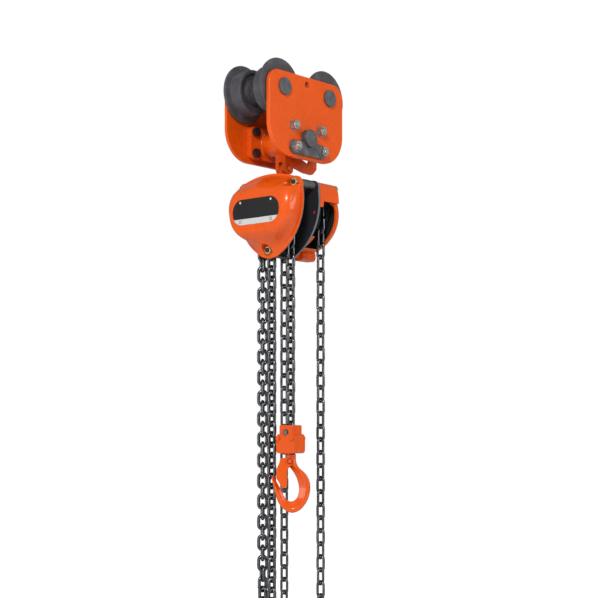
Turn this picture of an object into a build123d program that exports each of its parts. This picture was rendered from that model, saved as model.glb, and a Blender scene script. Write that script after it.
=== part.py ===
from build123d import *
import os
from math import acos, asin, cos, degrees, pi, radians, sin, tan

# Trolley chain hoist, millimetres. +X runs along the beam, +Y away from the keeper side shown in
# front, +Z up. The origin lies midway between the side plates and between the axles, at the level
# where the wheel treads stand on the beam flange.

# Fits
running_fit = 0.05
seat_gap = 0.3
bolt_clearance = 0.4

# Trolley side plates
plate_width = 203.0
plate_top = 68.5
plate_bottom = -81.0
plate_thickness = 7.0
plate_gap = 96.0
plate_top_radius = 25.0
plate_bottom_radius = 56.0
plate_hole_radius = 6.0
plate_hole_height = 54.6

# Trolley wheels and axles
axle_spacing = 124.0
tread_radius = 40.5
wheel_flange_radius = 52.0
wheel_flange_width = 8.0
tread_width = 23.0
wheel_side_gap = 2.0
wheel_recess_radius = 34.0
wheel_recess_depth = 5.0
axle_radius = 10.0
axle_head_radius = 15.5
axle_head_height = 4.5
bearing_radius = 17.0
bearing_collar_radius = 21.0
axle_washer_radius = 19.0
axle_washer_thickness = 1.5
circlip_thickness = 1.3
circlip_radius = 13.0
circlip_groove_depth = 1.2
axle_end_length = 2.0

# Suspension shaft, its brackets and keepers
shaft_height = -43.5
shaft_radius = 16.0
shaft_overhang = 12.5
bracket_width = 97.0
bracket_height = 59.0
bracket_thickness = 10.0
bracket_corner_radius = 8.0
boss_radius = 22.0
boss_end = 14.0
bolt_radius = 5.0
bolt_pattern_x = 73.4
bolt_pattern_z = 38.5
bolt_head_radius = 9.2
bolt_head_height = 6.4
nut_radius = 9.2
nut_height = 8.0
bolt_end = 2.5
washer_radius = 10.0
washer_thickness = 1.6
keeper_thickness = 4.5
keeper_height = 25.0
keeper_groove_radius = 13.0

# Hanger between the shaft and the hoist
hanger_thickness = 24.0
hanger_eye_radius = 25.0
hanger_neck_width = 22.0
hanger_slot_width = 9.0
hanger_slot_top = -80.0
hanger_pin_height = -91.0
hanger_bottom = hanger_pin_height - hanger_neck_width / 2
hanger_pin_radius = 5.0
hanger_pin_head_radius = 6.5
hanger_pin_head_height = 3.5
horn_face = 8.0
horn_thickness = 5.0
horn_outline = [
    (0, -83),
    (46, -92.5),
    (70, -93.5),
    (82, -82),
    (82, -58),
    (66, -58),
    (59, -76),
    (20, -60.5),
    (0, -50),
]
horn_radii = [1, 12, 8, 6, 6, 6, 2.5, 8, 1]
spacer_radius = 21.0

# Hoist frame: two shield plates on three studs, seen along X as (y, height above the hoist axis)
hoist_axis_z = -167.5
sheave_x = -9.0
frame_gap = 39.5
sheave_to_gear_plate = 23.5
plate_inset = 2.5
frame_plate_thickness = 5.0
shield_top = 61.5
shield_shoulder = (60.0, 51.5)
shield_corner = (74.5, 45.5)
shield_side = (77.5, 30.0)
shield_flank = (74.0, -22.0)
shield_heel = (21.0, -86.0)
shield_tip = -91.0
stud_rise = 14.6
stud_angle = 32.4
foot_stud_z = -77.0
stud_radius = 4.0
stud_end = 2.0
stud_nut_radius = 7.5
stud_nut_height = 6.5
stud_spacer_radius = 6.5
yoke_half_width = 33.0
yoke_top = 57.0
yoke_bottom = 37.0
yoke_pin_spacing = 48.0
yoke_pin_height = 47.0
yoke_pin_radius = 5.0
tongue_half_width = 10.0

# Gear train
bush_radius = 19.0
neck_radius = 15.0
gear_centre_distance = 36.0
pressure_angle = 25.0
tooth_backlash = 0.14
drive_module = 1.2
drive_pinion_teeth = 12
drive_gear_teeth = 48
load_module = 1.0
load_pinion_teeth = 12
load_gear_teeth = 60
gear_side_gap = 1.5
load_gear_width = 12.0
drive_gear_width = 10.0
journal_radius = 4.5
journal_length = 7.5
drive_shaft_radius = 6.0

# Gear cover and its label plate
cover_flange_thickness = 3.0
cover_depth = 40.5
cover_floor = 6.0
cover_outlines = [
    (0.0, 57.5, (57.5, 48.5), (71, 42.5), (74, 29), (71, -21), (19.5, -83), -88),
    (0.4, 49.5, (56, 42), (68.5, 34), (75, 18), (69, -30), (33, -62), -68),
    (0.75, 40, (52, 35), (66.5, 25), (73.5, -5), (65, -33), (41, -54), -57),
    (1.0, 28, (43, 26), (57, 15), (62.5, -9.5), (57, -34), (43, -45), -47),
]
cavity_margin = 2.5
spot_face_radius = 11.0
spot_face_depth = 0.5
label_width = 112.0
label_height = 46.0
label_thickness = 0.8
label_radius = 22.0

# Load chain, 6.3 x 19.1
chain_wire = 6.3
chain_pitch = 19.1
chain_inner_width = 8.4
chain_play = 0.8
sheave_pockets = 4
fall_links = 21
slack_links = 37
loop_spread_links = 3
dead_links = 35
dead_strand_y = 46.0
dead_strand_turn = 41.0
dead_turn_links = 3
anchor_pin_radius = 4.0
sheave_drum_radius = 29.0
sheave_drum_width = 24.4
pocket_play = 0.4
groove_play = 0.75

# Hand chain, 5 x 24, and its wheel
hand_wire = 5.0
hand_pitch = 24.0
hand_inner_width = 9.5
hand_play = 0.6
hand_pockets = 6
hand_strand_links = 29
hand_wheel_x = 50.0
hand_wheel_width = 24.4
hand_wheel_radius = 51.5
hand_rim_radius = 54.5
hand_rim_width = 1.6
hand_hub_radius = 16.0
hand_web_thickness = 7.0
hand_rim_depth = 5.5

# Brake
brake_gap = 0.2
brake_hub_thickness = 4.3
brake_sleeve_radius = 14.0
friction_radius = 33.0
friction_thickness = 2.3
ratchet_thickness = 5.0
ratchet_teeth = 14
ratchet_radius = 36.0
ratchet_root_radius = 31.0
ratchet_turn = 38.0
pawl_tooth_angle = 1.8
pawl_pivot_radius = 48.0
pawl_pivot_angle = 75.0
pawl_boss_radius = 7.0
pawl_pin_radius = 4.0
pawl_thickness = 4.6
pawl_spring_radius = 6.0
pawl_spring_length = 3.0

# Hand wheel cover
wheel_cover_radius = 74.0
hood_shoulder_rise = 0.6
hood_shoulder_angle = 48.7
ear_corner = (6.5, 2.5)
ear_side = (12.5, -9.0)
wheel_cover_ear_step = 9.6
dish_shoulder_angle = 55.5
dish_corner_rise = 3.5
dish_corner_angle = 30.8
dish_side_drop = 4.2
dish_side_angle = 15.0
dish_edges = [(7.0, 0.0), (2.0, 2.0), (0.0, 7.0)]
window_radius = 13.0
hood_tab_length = 9.0
hood_tab_drop = 11.0
hood_tab_radius = 4.0
wheel_cover_flank_angle = -17.0
wheel_cover_heel_angle = -45.0
hood_clearance = 1.5
wheel_cover_wall = 4.0
wheel_cover_end_gap = 1.8
wheel_cover_hood = 12.0
wheel_cover_lip_height = 6.0
wheel_cover_skirt_height = 24.0
wheel_cover_skirt_depth = 10.0
wheel_cover_foot_width = 26.0
wheel_cover_foot_length = 36.0
wheel_cover_foot_drop = 14.0
wheel_cover_foot_corner = 6.0
stud_boss_radius = 7.0
wheel_nut_radius = 11.0
wheel_nut_height = 5.0

# Chain guide
guide_width = 21.0
guide_bottom = -87.0
guide_sheave_gap = 3.0

# Hook block
block_top = 13.3
block_bottom = -38.1
block_neck_width = 31.0
block_neck_depth = 26.0
block_width = 44.0
block_depth = 30.0
block_shoulder = -3.0
block_floor = 7.0
block_corner_radius = 7.0
chain_pin_radius = 4.0
chain_pin_head_radius = 5.5
chain_pin_head_height = 4.0
block_bolt_radius = 3.0
block_bolt_head_radius = 4.5
block_bolt_head_height = 3.0
block_bolt_x = 16.5
block_bolt_z = -11.0
link_room = 0.8

# Bottom hook, drawn in its own plane from the underside of the block
hook_turn = -49.0
hook_thickness = 17.0
hook_shank_radius = 8.0
hook_neck_radius = 10.25
hook_neck_length = 16.0
hook_flat_length = 10.0
hook_nut_radius = 12.0
hook_nut_height = 9.0
hook_outer = [
    (9.8, -15),
    (16, -27),
    (28, -37),
    (36, -62),
    (30, -87),
    (5, -108.5),
    (-19.6, -94.6),
    (-29.5, -68),
    (-33.7, -47),
]
hook_tip = (-31.5, -42.5)
hook_inner = [
    (-28, -47),
    (-18.2, -64),
    (-10.5, -80),
    (1, -87.6),
    (13, -78.5),
    (15.8, -62),
    (8, -38),
    (-4, -22),
]
latch_pivot = (-1.4, -14.0)
latch_thickness = 2.0
latch_pin_radius = 2.5
latch_pin_head_radius = 5.0
latch_pin_head_height = 1.6
latch_side = [
    (-8, -8.5),
    (3.5, -9),
    (4, -18.5),
    (-6.5, -30),
    (-6.5, -60),
    (-14.5, -64),
    (-25.8, -45),
    (-25.3, -28),
    (-20.5, -17),
    (-18.5, -9),
]
latch_spring_radius = 5.0
latch_spring_length = 5.5

# Places worked out from the driving dimensions
plate_inner = plate_gap / 2
plate_outer = plate_inner + plate_thickness
axle_x = axle_spacing / 2
axle_z = tread_radius
wheel_outer = plate_inner - wheel_side_gap
wheel_inner = wheel_outer - wheel_flange_width - tread_width
bearing_inner = wheel_inner - seat_gap
circlip_outer = bearing_inner - axle_washer_thickness
axle_inner = circlip_outer - circlip_thickness - axle_end_length
bracket_face = plate_inner - bracket_thickness
shaft_end = plate_outer + shaft_overhang
bolt_x = bolt_pattern_x / 2
bolt_z = bolt_pattern_z / 2
gear_plate_inner = sheave_x - sheave_to_gear_plate
gear_plate_outer = gear_plate_inner - frame_plate_thickness
wheel_plate_inner = gear_plate_inner + frame_gap
wheel_plate_outer = wheel_plate_inner + frame_plate_thickness
cover_flange_face = gear_plate_outer - cover_flange_thickness
cover_face = gear_plate_outer - cover_depth
load_gear_start = gear_plate_outer - gear_side_gap
load_gear_end = load_gear_start - load_gear_width
drive_gear_start = load_gear_end - gear_side_gap
drive_gear_end = drive_gear_start - drive_gear_width
journal_end = drive_gear_end - journal_length
gear_line_angle = -180.0 / drive_pinion_teeth
drive_gear_turn = gear_line_angle + 180.0 / drive_gear_teeth
load_pinion_turn = gear_line_angle + 180.0 / load_pinion_teeth
hub_start = wheel_plate_outer + seat_gap * 2
friction_start = hub_start + brake_hub_thickness + brake_gap
ratchet_start = friction_start + friction_thickness + brake_gap
friction_outer_start = ratchet_start + ratchet_thickness + brake_gap
wheel_hub_start = friction_outer_start + friction_thickness + brake_gap
wheel_hub_end = hand_wheel_x + hand_wheel_width / 2
drive_shaft_end = wheel_hub_end + wheel_nut_height + seat_gap
wheel_cover_end = drive_shaft_end + wheel_cover_end_gap + wheel_cover_wall
cover_ear_end = wheel_cover_end - wheel_cover_ear_step
ratchet_plane_x = ratchet_start + (ratchet_thickness - pawl_thickness) / 2


# A round wire link drawn in the XZ plane: its length lies along Z and its width along X
def chain_link(wire, pitch, play, inner_width):
    end_radius = (inner_width + wire) / 2
    half_straight = (pitch + play + wire) / 2 - end_radius
    with BuildPart() as link:
        with BuildLine(Plane.XZ) as centre_line:
            Line((-end_radius, -half_straight), (-end_radius, half_straight))
            ThreePointArc(
                (-end_radius, half_straight), (0, half_straight + end_radius), (end_radius, half_straight)
            )
            Line((end_radius, half_straight), (end_radius, -half_straight))
            ThreePointArc(
                (end_radius, -half_straight),
                (0, -half_straight - end_radius),
                (-end_radius, -half_straight),
            )
        with BuildSketch(Plane(origin=(-end_radius, 0, -half_straight), z_dir=(0, 0, 1))):
            Circle(wire / 2)
        sweep()
    return link.part


# The middle of a link that starts at a joint and runs on by one pitch, heading from straight down
# towards +Y, in the plane at this X; a cross link lies with its width along X
def link_place(x, start, heading, pitch, cross, turn=0.0):
    middle_y = start[0] + pitch / 2 * sin(radians(heading))
    middle_z = start[1] - pitch / 2 * cos(radians(heading))
    swing = Location((x, middle_y, middle_z), (heading, 0, 0))
    return swing * Location((0, 0, 0), (0, 0, turn if cross else turn + 90))


# The joints of a chain that runs through these headings, one link to each
def chain_run(x, start, headings, pitch, cross_first, turns):
    places = []
    joint = start
    cross = cross_first
    for heading, turn in zip(headings, turns):
        places.append(link_place(x, joint, heading, pitch, cross, turn))
        joint = (joint[0] + pitch * sin(radians(heading)), joint[1] - pitch * cos(radians(heading)))
        cross = not cross
    return places


def straight_turns(count):
    return [0.0] * count


# An involute spur gear outline, with a tooth centred on the +X direction of its sketch after turn
def gear_outline(teeth, module, turn):
    pitch_radius = teeth * module / 2
    base_radius = pitch_radius * cos(radians(pressure_angle))
    tip_radius = pitch_radius + 0.95 * module
    root_radius = pitch_radius - 1.2 * module
    flank_start = max(root_radius, base_radius)
    half_tooth = pi / (2 * teeth) - tooth_backlash / (4 * pitch_radius)

    def involute(radius):
        angle = acos(base_radius / radius)
        return tan(angle) - angle

    def flank_point(tooth, side, radius, along):
        lean = half_tooth + involute(pitch_radius) - involute(along)
        angle = radians(turn) + 2 * pi * tooth / teeth + side * lean
        return (radius * cos(angle), radius * sin(angle))

    with BuildSketch() as outline:
        with BuildLine():
            for tooth in range(teeth):
                for side in (-1, 1):
                    flank = [
                        flank_point(tooth, side, radius, radius)
                        for radius in (flank_start, (flank_start + tip_radius) / 2, tip_radius)
                    ]
                    ThreePointArc(*flank)
                    if root_radius < base_radius:
                        Line(flank_point(tooth, side, root_radius, flank_start), flank[0])
                Line(
                    flank_point(tooth, -1, tip_radius, tip_radius),
                    flank_point(tooth, 1, tip_radius, tip_radius),
                )
                Line(
                    flank_point(tooth, 1, root_radius, flank_start),
                    flank_point(tooth + 1, -1, root_radius, flank_start),
                )
        make_face()
    return outline.sketch


# A closed outline of six arcs that is the same left and right: shoulder to shoulder over the top,
# round the corners, down the flanks and round the foot
def six_arc_face(top, shoulder, corner, side, flank, heel, foot):
    def left(point):
        return (-point[0], point[1])

    with BuildSketch() as face:
        with BuildLine():
            ThreePointArc(left(shoulder), (0, top), shoulder)
            ThreePointArc(shoulder, corner, side)
            ThreePointArc(side, flank, heel)
            ThreePointArc(heel, (0, foot), left(heel))
            ThreePointArc(left(heel), left(flank), left(side))
            ThreePointArc(left(side), left(corner), left(shoulder))
        make_face()
    return face.sketch


def across(x):
    return Plane(origin=(x, 0, hoist_axis_z), x_dir=(0, 1, 0), z_dir=(1, 0, 0))


def polar(radius, angle):
    return (radius * cos(radians(angle)), radius * sin(radians(angle)))


shield_face = six_arc_face(
    shield_top, shield_shoulder, shield_corner, shield_side, shield_flank, shield_heel, shield_tip
)
plate_face = offset(shield_face, amount=-plate_inset)
load_link = chain_link(chain_wire, chain_pitch, chain_play, chain_inner_width)
hand_link = chain_link(hand_wire, hand_pitch, hand_play, hand_inner_width)
load_chain_width = chain_inner_width + 2 * chain_wire
hand_chain_width = hand_inner_width + 2 * hand_wire
sheave_sides = 2 * sheave_pockets
sheave_chord = chain_pitch / 2 / tan(pi / sheave_sides)
hand_sides = 2 * hand_pockets
hand_chord = hand_pitch / 2 / tan(pi / hand_sides)

# Trolley side plate
with BuildPart() as trolley_plate_front:
    with BuildSketch(Plane.XZ.offset(plate_inner)) as plate_sketch:
        with Locations((0, (plate_top + plate_bottom) / 2)):
            Rectangle(plate_width, plate_top - plate_bottom)
        fillet(plate_sketch.vertices().group_by(Axis.Y)[-1], radius=plate_top_radius)
        fillet(plate_sketch.vertices().group_by(Axis.Y)[0], radius=plate_bottom_radius)
        with Locations((0, plate_hole_height)):
            Circle(plate_hole_radius, mode=Mode.SUBTRACT)
        with Locations((-axle_x, axle_z), (axle_x, axle_z)):
            Circle(axle_radius + running_fit, mode=Mode.SUBTRACT)
        with Locations((0, shaft_height)):
            Circle(shaft_radius + running_fit, mode=Mode.SUBTRACT)
            with GridLocations(bolt_pattern_x, bolt_pattern_z, 2, 2):
                Circle(bolt_radius + bolt_clearance, mode=Mode.SUBTRACT)
    extrude(amount=plate_thickness)
    fillet(trolley_plate_front.faces().sort_by(Axis.Y)[0].outer_wire().edges(), radius=1.5)
trolley_plate_front.part.label = "trolley_plate_front"
export_step(trolley_plate_front.part, "parts/trolley_plate_front.step")

with BuildPart() as trolley_plate_rear:
    mirror(trolley_plate_front.part, about=Plane.XZ)
trolley_plate_rear.part.label = "trolley_plate_rear"
export_step(trolley_plate_rear.part, "parts/trolley_plate_rear.step")

# Axle pins with a broad head outside the plate and a circlip groove at the inner end
with BuildPart() as axle:
    with BuildSketch(Plane.XY) as axle_profile:
        with BuildLine():
            Polyline(
                (0, -plate_outer - axle_head_height),
                (axle_head_radius, -plate_outer - axle_head_height),
                (axle_head_radius, -plate_outer),
                (axle_radius, -plate_outer),
                (axle_radius, -circlip_outer),
                (axle_radius - circlip_groove_depth, -circlip_outer),
                (axle_radius - circlip_groove_depth, -circlip_outer + circlip_thickness),
                (axle_radius, -circlip_outer + circlip_thickness),
                (axle_radius, -axle_inner),
                (0, -axle_inner),
                close=True,
            )
        make_face()
    revolve(axis=Axis.Y)
    fillet(axle.edges().group_by(Axis.Y)[0], radius=1.2)

with BuildPart() as wheel_axles:
    with Locations((-axle_x, 0, axle_z), (axle_x, 0, axle_z)):
        add(axle.part)
    mirror(about=Plane.XZ)
wheel_axles.part.label = "wheel_axles"
export_step(wheel_axles.part, "parts/wheel_axles.step")

# Inner bearing rings: a collar keeps the wheel off the plate
with BuildPart() as wheel_bearings:
    for x in (-axle_x, axle_x):
        with BuildSketch(Plane.XZ.offset(bearing_inner)):
            with Locations((x, axle_z)):
                Circle(bearing_radius)
        extrude(amount=plate_inner - bearing_inner)
        with BuildSketch(Plane.XZ.offset(wheel_outer + seat_gap)):
            with Locations((x, axle_z)):
                Circle(bearing_collar_radius)
        extrude(amount=wheel_side_gap - seat_gap)
        with BuildSketch(Plane.XZ.offset(bearing_inner)):
            with Locations((x, axle_z)):
                Circle(axle_radius + running_fit)
        extrude(amount=plate_inner - bearing_inner, mode=Mode.SUBTRACT)
    mirror(about=Plane.XZ)
wheel_bearings.part.label = "wheel_bearings"
export_step(wheel_bearings.part, "parts/wheel_bearings.step")

with BuildPart() as axle_washers:
    for x in (-axle_x, axle_x):
        with BuildSketch(Plane.XZ.offset(circlip_outer)):
            with Locations((x, axle_z)):
                Circle(axle_washer_radius)
                Circle(axle_radius + running_fit, mode=Mode.SUBTRACT)
        extrude(amount=axle_washer_thickness)
    mirror(about=Plane.XZ)
axle_washers.part.label = "axle_washers"
export_step(axle_washers.part, "parts/axle_washers.step")

with BuildPart() as axle_circlips:
    for x in (-axle_x, axle_x):
        with BuildSketch(Plane.XZ.offset(circlip_outer - circlip_thickness)):
            with Locations((x, axle_z)):
                Circle(circlip_radius)
                Circle(axle_radius - circlip_groove_depth + running_fit, mode=Mode.SUBTRACT)
            with Locations((x, axle_z - circlip_radius)):
                Rectangle(circlip_radius / 2, circlip_radius, mode=Mode.SUBTRACT)
        extrude(amount=circlip_thickness)
    mirror(about=Plane.XZ)
axle_circlips.part.label = "axle_circlips"
export_step(axle_circlips.part, "parts/axle_circlips.step")

# Flanged trolley wheels
with BuildPart() as wheel:
    with BuildSketch(Plane.XY):
        with BuildLine():
            Polyline(
                (bearing_radius + running_fit, -wheel_outer),
                (wheel_flange_radius, -wheel_outer),
                (wheel_flange_radius, -wheel_outer + wheel_flange_width * 0.6),
                (tread_radius, -wheel_outer + wheel_flange_width),
                (tread_radius, -wheel_inner),
                (wheel_recess_radius, -wheel_inner),
                (wheel_recess_radius, -wheel_inner - wheel_recess_depth),
                (bearing_radius + wheel_recess_depth, -wheel_inner - wheel_recess_depth),
                (bearing_radius + wheel_recess_depth, -wheel_inner),
                (bearing_radius + running_fit, -wheel_inner),
                close=True,
            )
        make_face()
    revolve(axis=Axis.Y)

with BuildPart() as wheel_front_left:
    with Locations((-axle_x, 0, axle_z)):
        add(wheel.part)
wheel_front_left.part.label = "wheel_front_left"
export_step(wheel_front_left.part, "parts/wheel_front_left.step")

with BuildPart() as wheel_front_right:
    with Locations((axle_x, 0, axle_z)):
        add(wheel.part)
wheel_front_right.part.label = "wheel_front_right"
export_step(wheel_front_right.part, "parts/wheel_front_right.step")

with BuildPart() as wheel_rear_left:
    mirror(wheel_front_left.part, about=Plane.XZ)
wheel_rear_left.part.label = "wheel_rear_left"
export_step(wheel_rear_left.part, "parts/wheel_rear_left.step")

with BuildPart() as wheel_rear_right:
    mirror(wheel_front_right.part, about=Plane.XZ)
wheel_rear_right.part.label = "wheel_rear_right"
export_step(wheel_rear_right.part, "parts/wheel_rear_right.step")

# Shaft brackets: a bolted flange with a tubular boss
with BuildPart() as shaft_bracket_front:
    with BuildSketch(Plane.XZ.offset(bracket_face)):
        with Locations((0, shaft_height)):
            RectangleRounded(bracket_width, bracket_height, bracket_corner_radius)
    extrude(amount=bracket_thickness)
    with BuildSketch(Plane.XZ.offset(boss_end)):
        with Locations((0, shaft_height)):
            Circle(boss_radius)
    extrude(amount=bracket_face - boss_end)
    fillet(shaft_bracket_front.edges().filter_by(GeomType.CIRCLE).filter_by_position(
        Axis.Y, -bracket_face - 0.01, -bracket_face + 0.01).sort_by(SortBy.RADIUS)[-1], radius=3)
    with BuildSketch(Plane.XZ.offset(boss_end)):
        with Locations((0, shaft_height)):
            Circle(shaft_radius + running_fit)
            with GridLocations(bolt_pattern_x, bolt_pattern_z, 2, 2):
                Circle(bolt_radius + bolt_clearance)
    extrude(amount=plate_inner - boss_end, mode=Mode.SUBTRACT)
shaft_bracket_front.part.label = "shaft_bracket_front"
export_step(shaft_bracket_front.part, "parts/shaft_bracket_front.step")

with BuildPart() as shaft_bracket_rear:
    mirror(shaft_bracket_front.part, about=Plane.XZ)
shaft_bracket_rear.part.label = "shaft_bracket_rear"
export_step(shaft_bracket_rear.part, "parts/shaft_bracket_rear.step")

# Suspension shaft with a groove at each end for the keepers
with BuildPart() as suspension_shaft:
    with BuildSketch(Plane.XZ.offset(-shaft_end)):
        with Locations((0, shaft_height)):
            Circle(shaft_radius)
    extrude(amount=2 * shaft_end)
    chamfer(suspension_shaft.edges().filter_by(GeomType.CIRCLE), length=1.5)
    for side in (plate_outer - running_fit, -plate_outer - keeper_thickness - running_fit):
        with BuildSketch(Plane.XZ.offset(side)):
            with Locations((0, shaft_height)):
                Circle(shaft_radius + 1)
                Circle(keeper_groove_radius, mode=Mode.SUBTRACT)
        extrude(amount=keeper_thickness + 2 * running_fit, mode=Mode.SUBTRACT)
suspension_shaft.part.label = "suspension_shaft"
export_step(suspension_shaft.part, "parts/suspension_shaft.step")

# Keeper plates on the lower bolts, let into the shaft's grooves
with BuildPart() as shaft_keepers:
    with BuildSketch(Plane.XZ.offset(plate_outer)):
        with Locations((0, shaft_height - bolt_z)):
            SlotCenterToCenter(bolt_pattern_x, keeper_height)
            with GridLocations(bolt_pattern_x, 1, 2, 1):
                Circle(bolt_radius + bolt_clearance, mode=Mode.SUBTRACT)
        with Locations((0, shaft_height)):
            Circle(keeper_groove_radius + running_fit, mode=Mode.SUBTRACT)
    extrude(amount=keeper_thickness)
    mirror(about=Plane.XZ)
shaft_keepers.part.label = "shaft_keepers"
export_step(shaft_keepers.part, "parts/shaft_keepers.step")

# Bracket bolts, washers and nuts; the lower pairs also hold the keepers
upper_seat = plate_outer
lower_seat = plate_outer + keeper_thickness
bolt_rows = [(shaft_height + bolt_z, upper_seat), (shaft_height - bolt_z, lower_seat)]
nut_stack = washer_thickness + nut_height

with BuildPart() as bracket_bolts:
    for row_z, seat in bolt_rows:
        for x in (-bolt_x, bolt_x):
            with BuildSketch(Plane.XZ.offset(bracket_face)):
                with Locations((x, row_z)):
                    Circle(bolt_radius)
            extrude(amount=seat + nut_stack + bolt_end - bracket_face)
            with BuildSketch(Plane.XZ.offset(bracket_face - bolt_head_height)):
                with Locations((x, row_z)):
                    RegularPolygon(bolt_head_radius, 6)
            extrude(amount=bolt_head_height)
    mirror(about=Plane.XZ)
bracket_bolts.part.label = "bracket_bolts"
export_step(bracket_bolts.part, "parts/bracket_bolts.step")

with BuildPart() as bracket_washers:
    for row_z, seat in bolt_rows:
        with BuildSketch(Plane.XZ.offset(seat)):
            with Locations((-bolt_x, row_z), (bolt_x, row_z)):
                Circle(washer_radius)
                Circle(bolt_radius + running_fit, mode=Mode.SUBTRACT)
        extrude(amount=washer_thickness)
    mirror(about=Plane.XZ)
bracket_washers.part.label = "bracket_washers"
export_step(bracket_washers.part, "parts/bracket_washers.step")

with BuildPart() as bracket_nuts:
    for row_z, seat in bolt_rows:
        with BuildSketch(Plane.XZ.offset(seat + washer_thickness)):
            with Locations((-bolt_x, row_z), (bolt_x, row_z)):
                RegularPolygon(nut_radius, 6)
                Circle(bolt_radius + running_fit, mode=Mode.SUBTRACT)
        extrude(amount=nut_height)
    mirror(about=Plane.XZ)
bracket_nuts.part.label = "bracket_nuts"
export_step(bracket_nuts.part, "parts/bracket_nuts.step")

# Spacer rings centre the hanger between the bosses
with BuildPart() as hanger_spacers:
    with BuildSketch(Plane.XZ.offset(hanger_thickness / 2 + seat_gap)):
        with Locations((0, shaft_height)):
            Circle(spacer_radius)
            Circle(shaft_radius + running_fit, mode=Mode.SUBTRACT)
    extrude(amount=boss_end - hanger_thickness / 2 - seat_gap)
    mirror(about=Plane.XZ)
hanger_spacers.part.label = "hanger_spacers"
export_step(hanger_spacers.part, "parts/hanger_spacers.step")

# Forged hanger: an eye on the shaft, a forked neck and a side horn
with BuildPart() as top_hanger:
    with BuildSketch(Plane.XZ.offset(-hanger_thickness / 2)) as hanger_face:
        with Locations((0, shaft_height)):
            Circle(hanger_eye_radius)
        with Locations((0, (shaft_height + hanger_pin_height) / 2)):
            Rectangle(hanger_neck_width, shaft_height - hanger_pin_height)
        with Locations((0, hanger_pin_height)):
            Circle(hanger_neck_width / 2)
    extrude(amount=hanger_thickness)
    with BuildSketch(Plane.XZ.offset(horn_face - horn_thickness)):
        with BuildLine():
            FilletPolyline(*horn_outline, radius=horn_radii, close=True)
        make_face()
    extrude(amount=horn_thickness)
    with BuildSketch(Plane.XZ.offset(-hanger_thickness / 2)):
        with Locations((0, shaft_height)):
            Circle(shaft_radius + 2 * running_fit)
        with Locations((0, hanger_pin_height)):
            Circle(hanger_pin_radius + running_fit)
    extrude(amount=hanger_thickness, mode=Mode.SUBTRACT)
    with BuildSketch(Plane.YZ.offset(-hanger_neck_width / 2)):
        with Locations((0, (hanger_slot_top + hanger_bottom) / 2)):
            Rectangle(hanger_slot_width, hanger_slot_top - hanger_bottom)
    extrude(amount=hanger_neck_width, mode=Mode.SUBTRACT)
top_hanger.part.label = "top_hanger"
export_step(top_hanger.part, "parts/top_hanger.step")

# Hanger pin with a domed head at each end
with BuildPart() as hanger_pin:
    with BuildSketch(Plane.XZ.offset(-hanger_thickness / 2)):
        with Locations((0, hanger_pin_height)):
            Circle(hanger_pin_radius)
    extrude(amount=hanger_thickness)
    with BuildSketch(Plane.XZ.offset(hanger_thickness / 2)):
        with Locations((0, hanger_pin_height)):
            Circle(hanger_pin_head_radius)
    extrude(amount=hanger_pin_head_height)
    fillet(hanger_pin.edges().group_by(Axis.Y)[0], radius=hanger_pin_head_height * 0.8)
    mirror(about=Plane.XZ)
hanger_pin.part.label = "hanger_pin"
export_step(hanger_pin.part, "parts/hanger_pin.step")

# Yoke between the frame plates, with the tongue that goes up into the hanger's fork
tongue_thickness = hanger_slot_width - 2 * seat_gap
tongue_middle = hoist_axis_z + (shield_top + yoke_bottom) / 2
with BuildPart() as top_yoke:
    with BuildSketch(across(gear_plate_inner)):
        with Locations((0, (yoke_top + yoke_bottom) / 2)):
            RectangleRounded(2 * yoke_half_width, yoke_top - yoke_bottom, 5)
    extrude(amount=frame_gap)
    with BuildSketch(Plane.XZ.offset(-tongue_thickness / 2)):
        with Locations((0, hanger_pin_height)):
            Circle(tongue_half_width)
        with Locations((0, (hanger_pin_height + hoist_axis_z + shield_top) / 2)):
            Rectangle(2 * tongue_half_width, hanger_pin_height - hoist_axis_z - shield_top)
        with Locations(((wheel_plate_inner - tongue_half_width) / 2, tongue_middle)):
            Rectangle(wheel_plate_inner + tongue_half_width, shield_top - yoke_bottom)
        with Locations((0, hanger_pin_height)):
            Circle(hanger_pin_radius + running_fit, mode=Mode.SUBTRACT)
    extrude(amount=tongue_thickness)
    with BuildSketch(across(gear_plate_inner)):
        with Locations((0, yoke_pin_height)):
            with GridLocations(yoke_pin_spacing, 1, 2, 1):
                Circle(yoke_pin_radius + running_fit)
    extrude(amount=frame_gap, mode=Mode.SUBTRACT)
top_yoke.part.label = "top_yoke"
export_step(top_yoke.part, "parts/top_yoke.step")

with BuildPart() as yoke_pins:
    with BuildSketch(across(gear_plate_outer)):
        with Locations((0, yoke_pin_height)):
            with GridLocations(yoke_pin_spacing, 1, 2, 1):
                Circle(yoke_pin_radius)
    extrude(amount=frame_gap + 2 * frame_plate_thickness)
yoke_pins.part.label = "yoke_pins"
export_step(yoke_pins.part, "parts/yoke_pins.step")

# Frame plates
dead_joint_z = -chain_pitch * (0.5 + slack_links - dead_links)
dead_top_z = dead_joint_z - chain_pitch / 2
anchor_pin_z = dead_top_z + (chain_pitch + chain_play) / 2 - anchor_pin_radius - running_fit
pawl_pivot = polar(pawl_pivot_radius, pawl_pivot_angle)
hand_chain_radius = hand_chord + hand_chain_width / 2
hood_inside = max(hand_rim_radius, hand_chain_radius, pawl_pivot[1] + pawl_boss_radius) + hood_clearance
wheel_cover_top = hood_inside + wheel_cover_wall
stud_y, stud_z = polar(wheel_cover_top + stud_rise, stud_angle)
stud_places = [(stud_y, stud_z), (-stud_y, stud_z), (0, foot_stud_z)]
gear_line_half, gear_line_height = polar(gear_centre_distance, gear_line_angle)
gear_places = [(-gear_line_half, gear_line_height), (gear_line_half, gear_line_height)]

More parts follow.
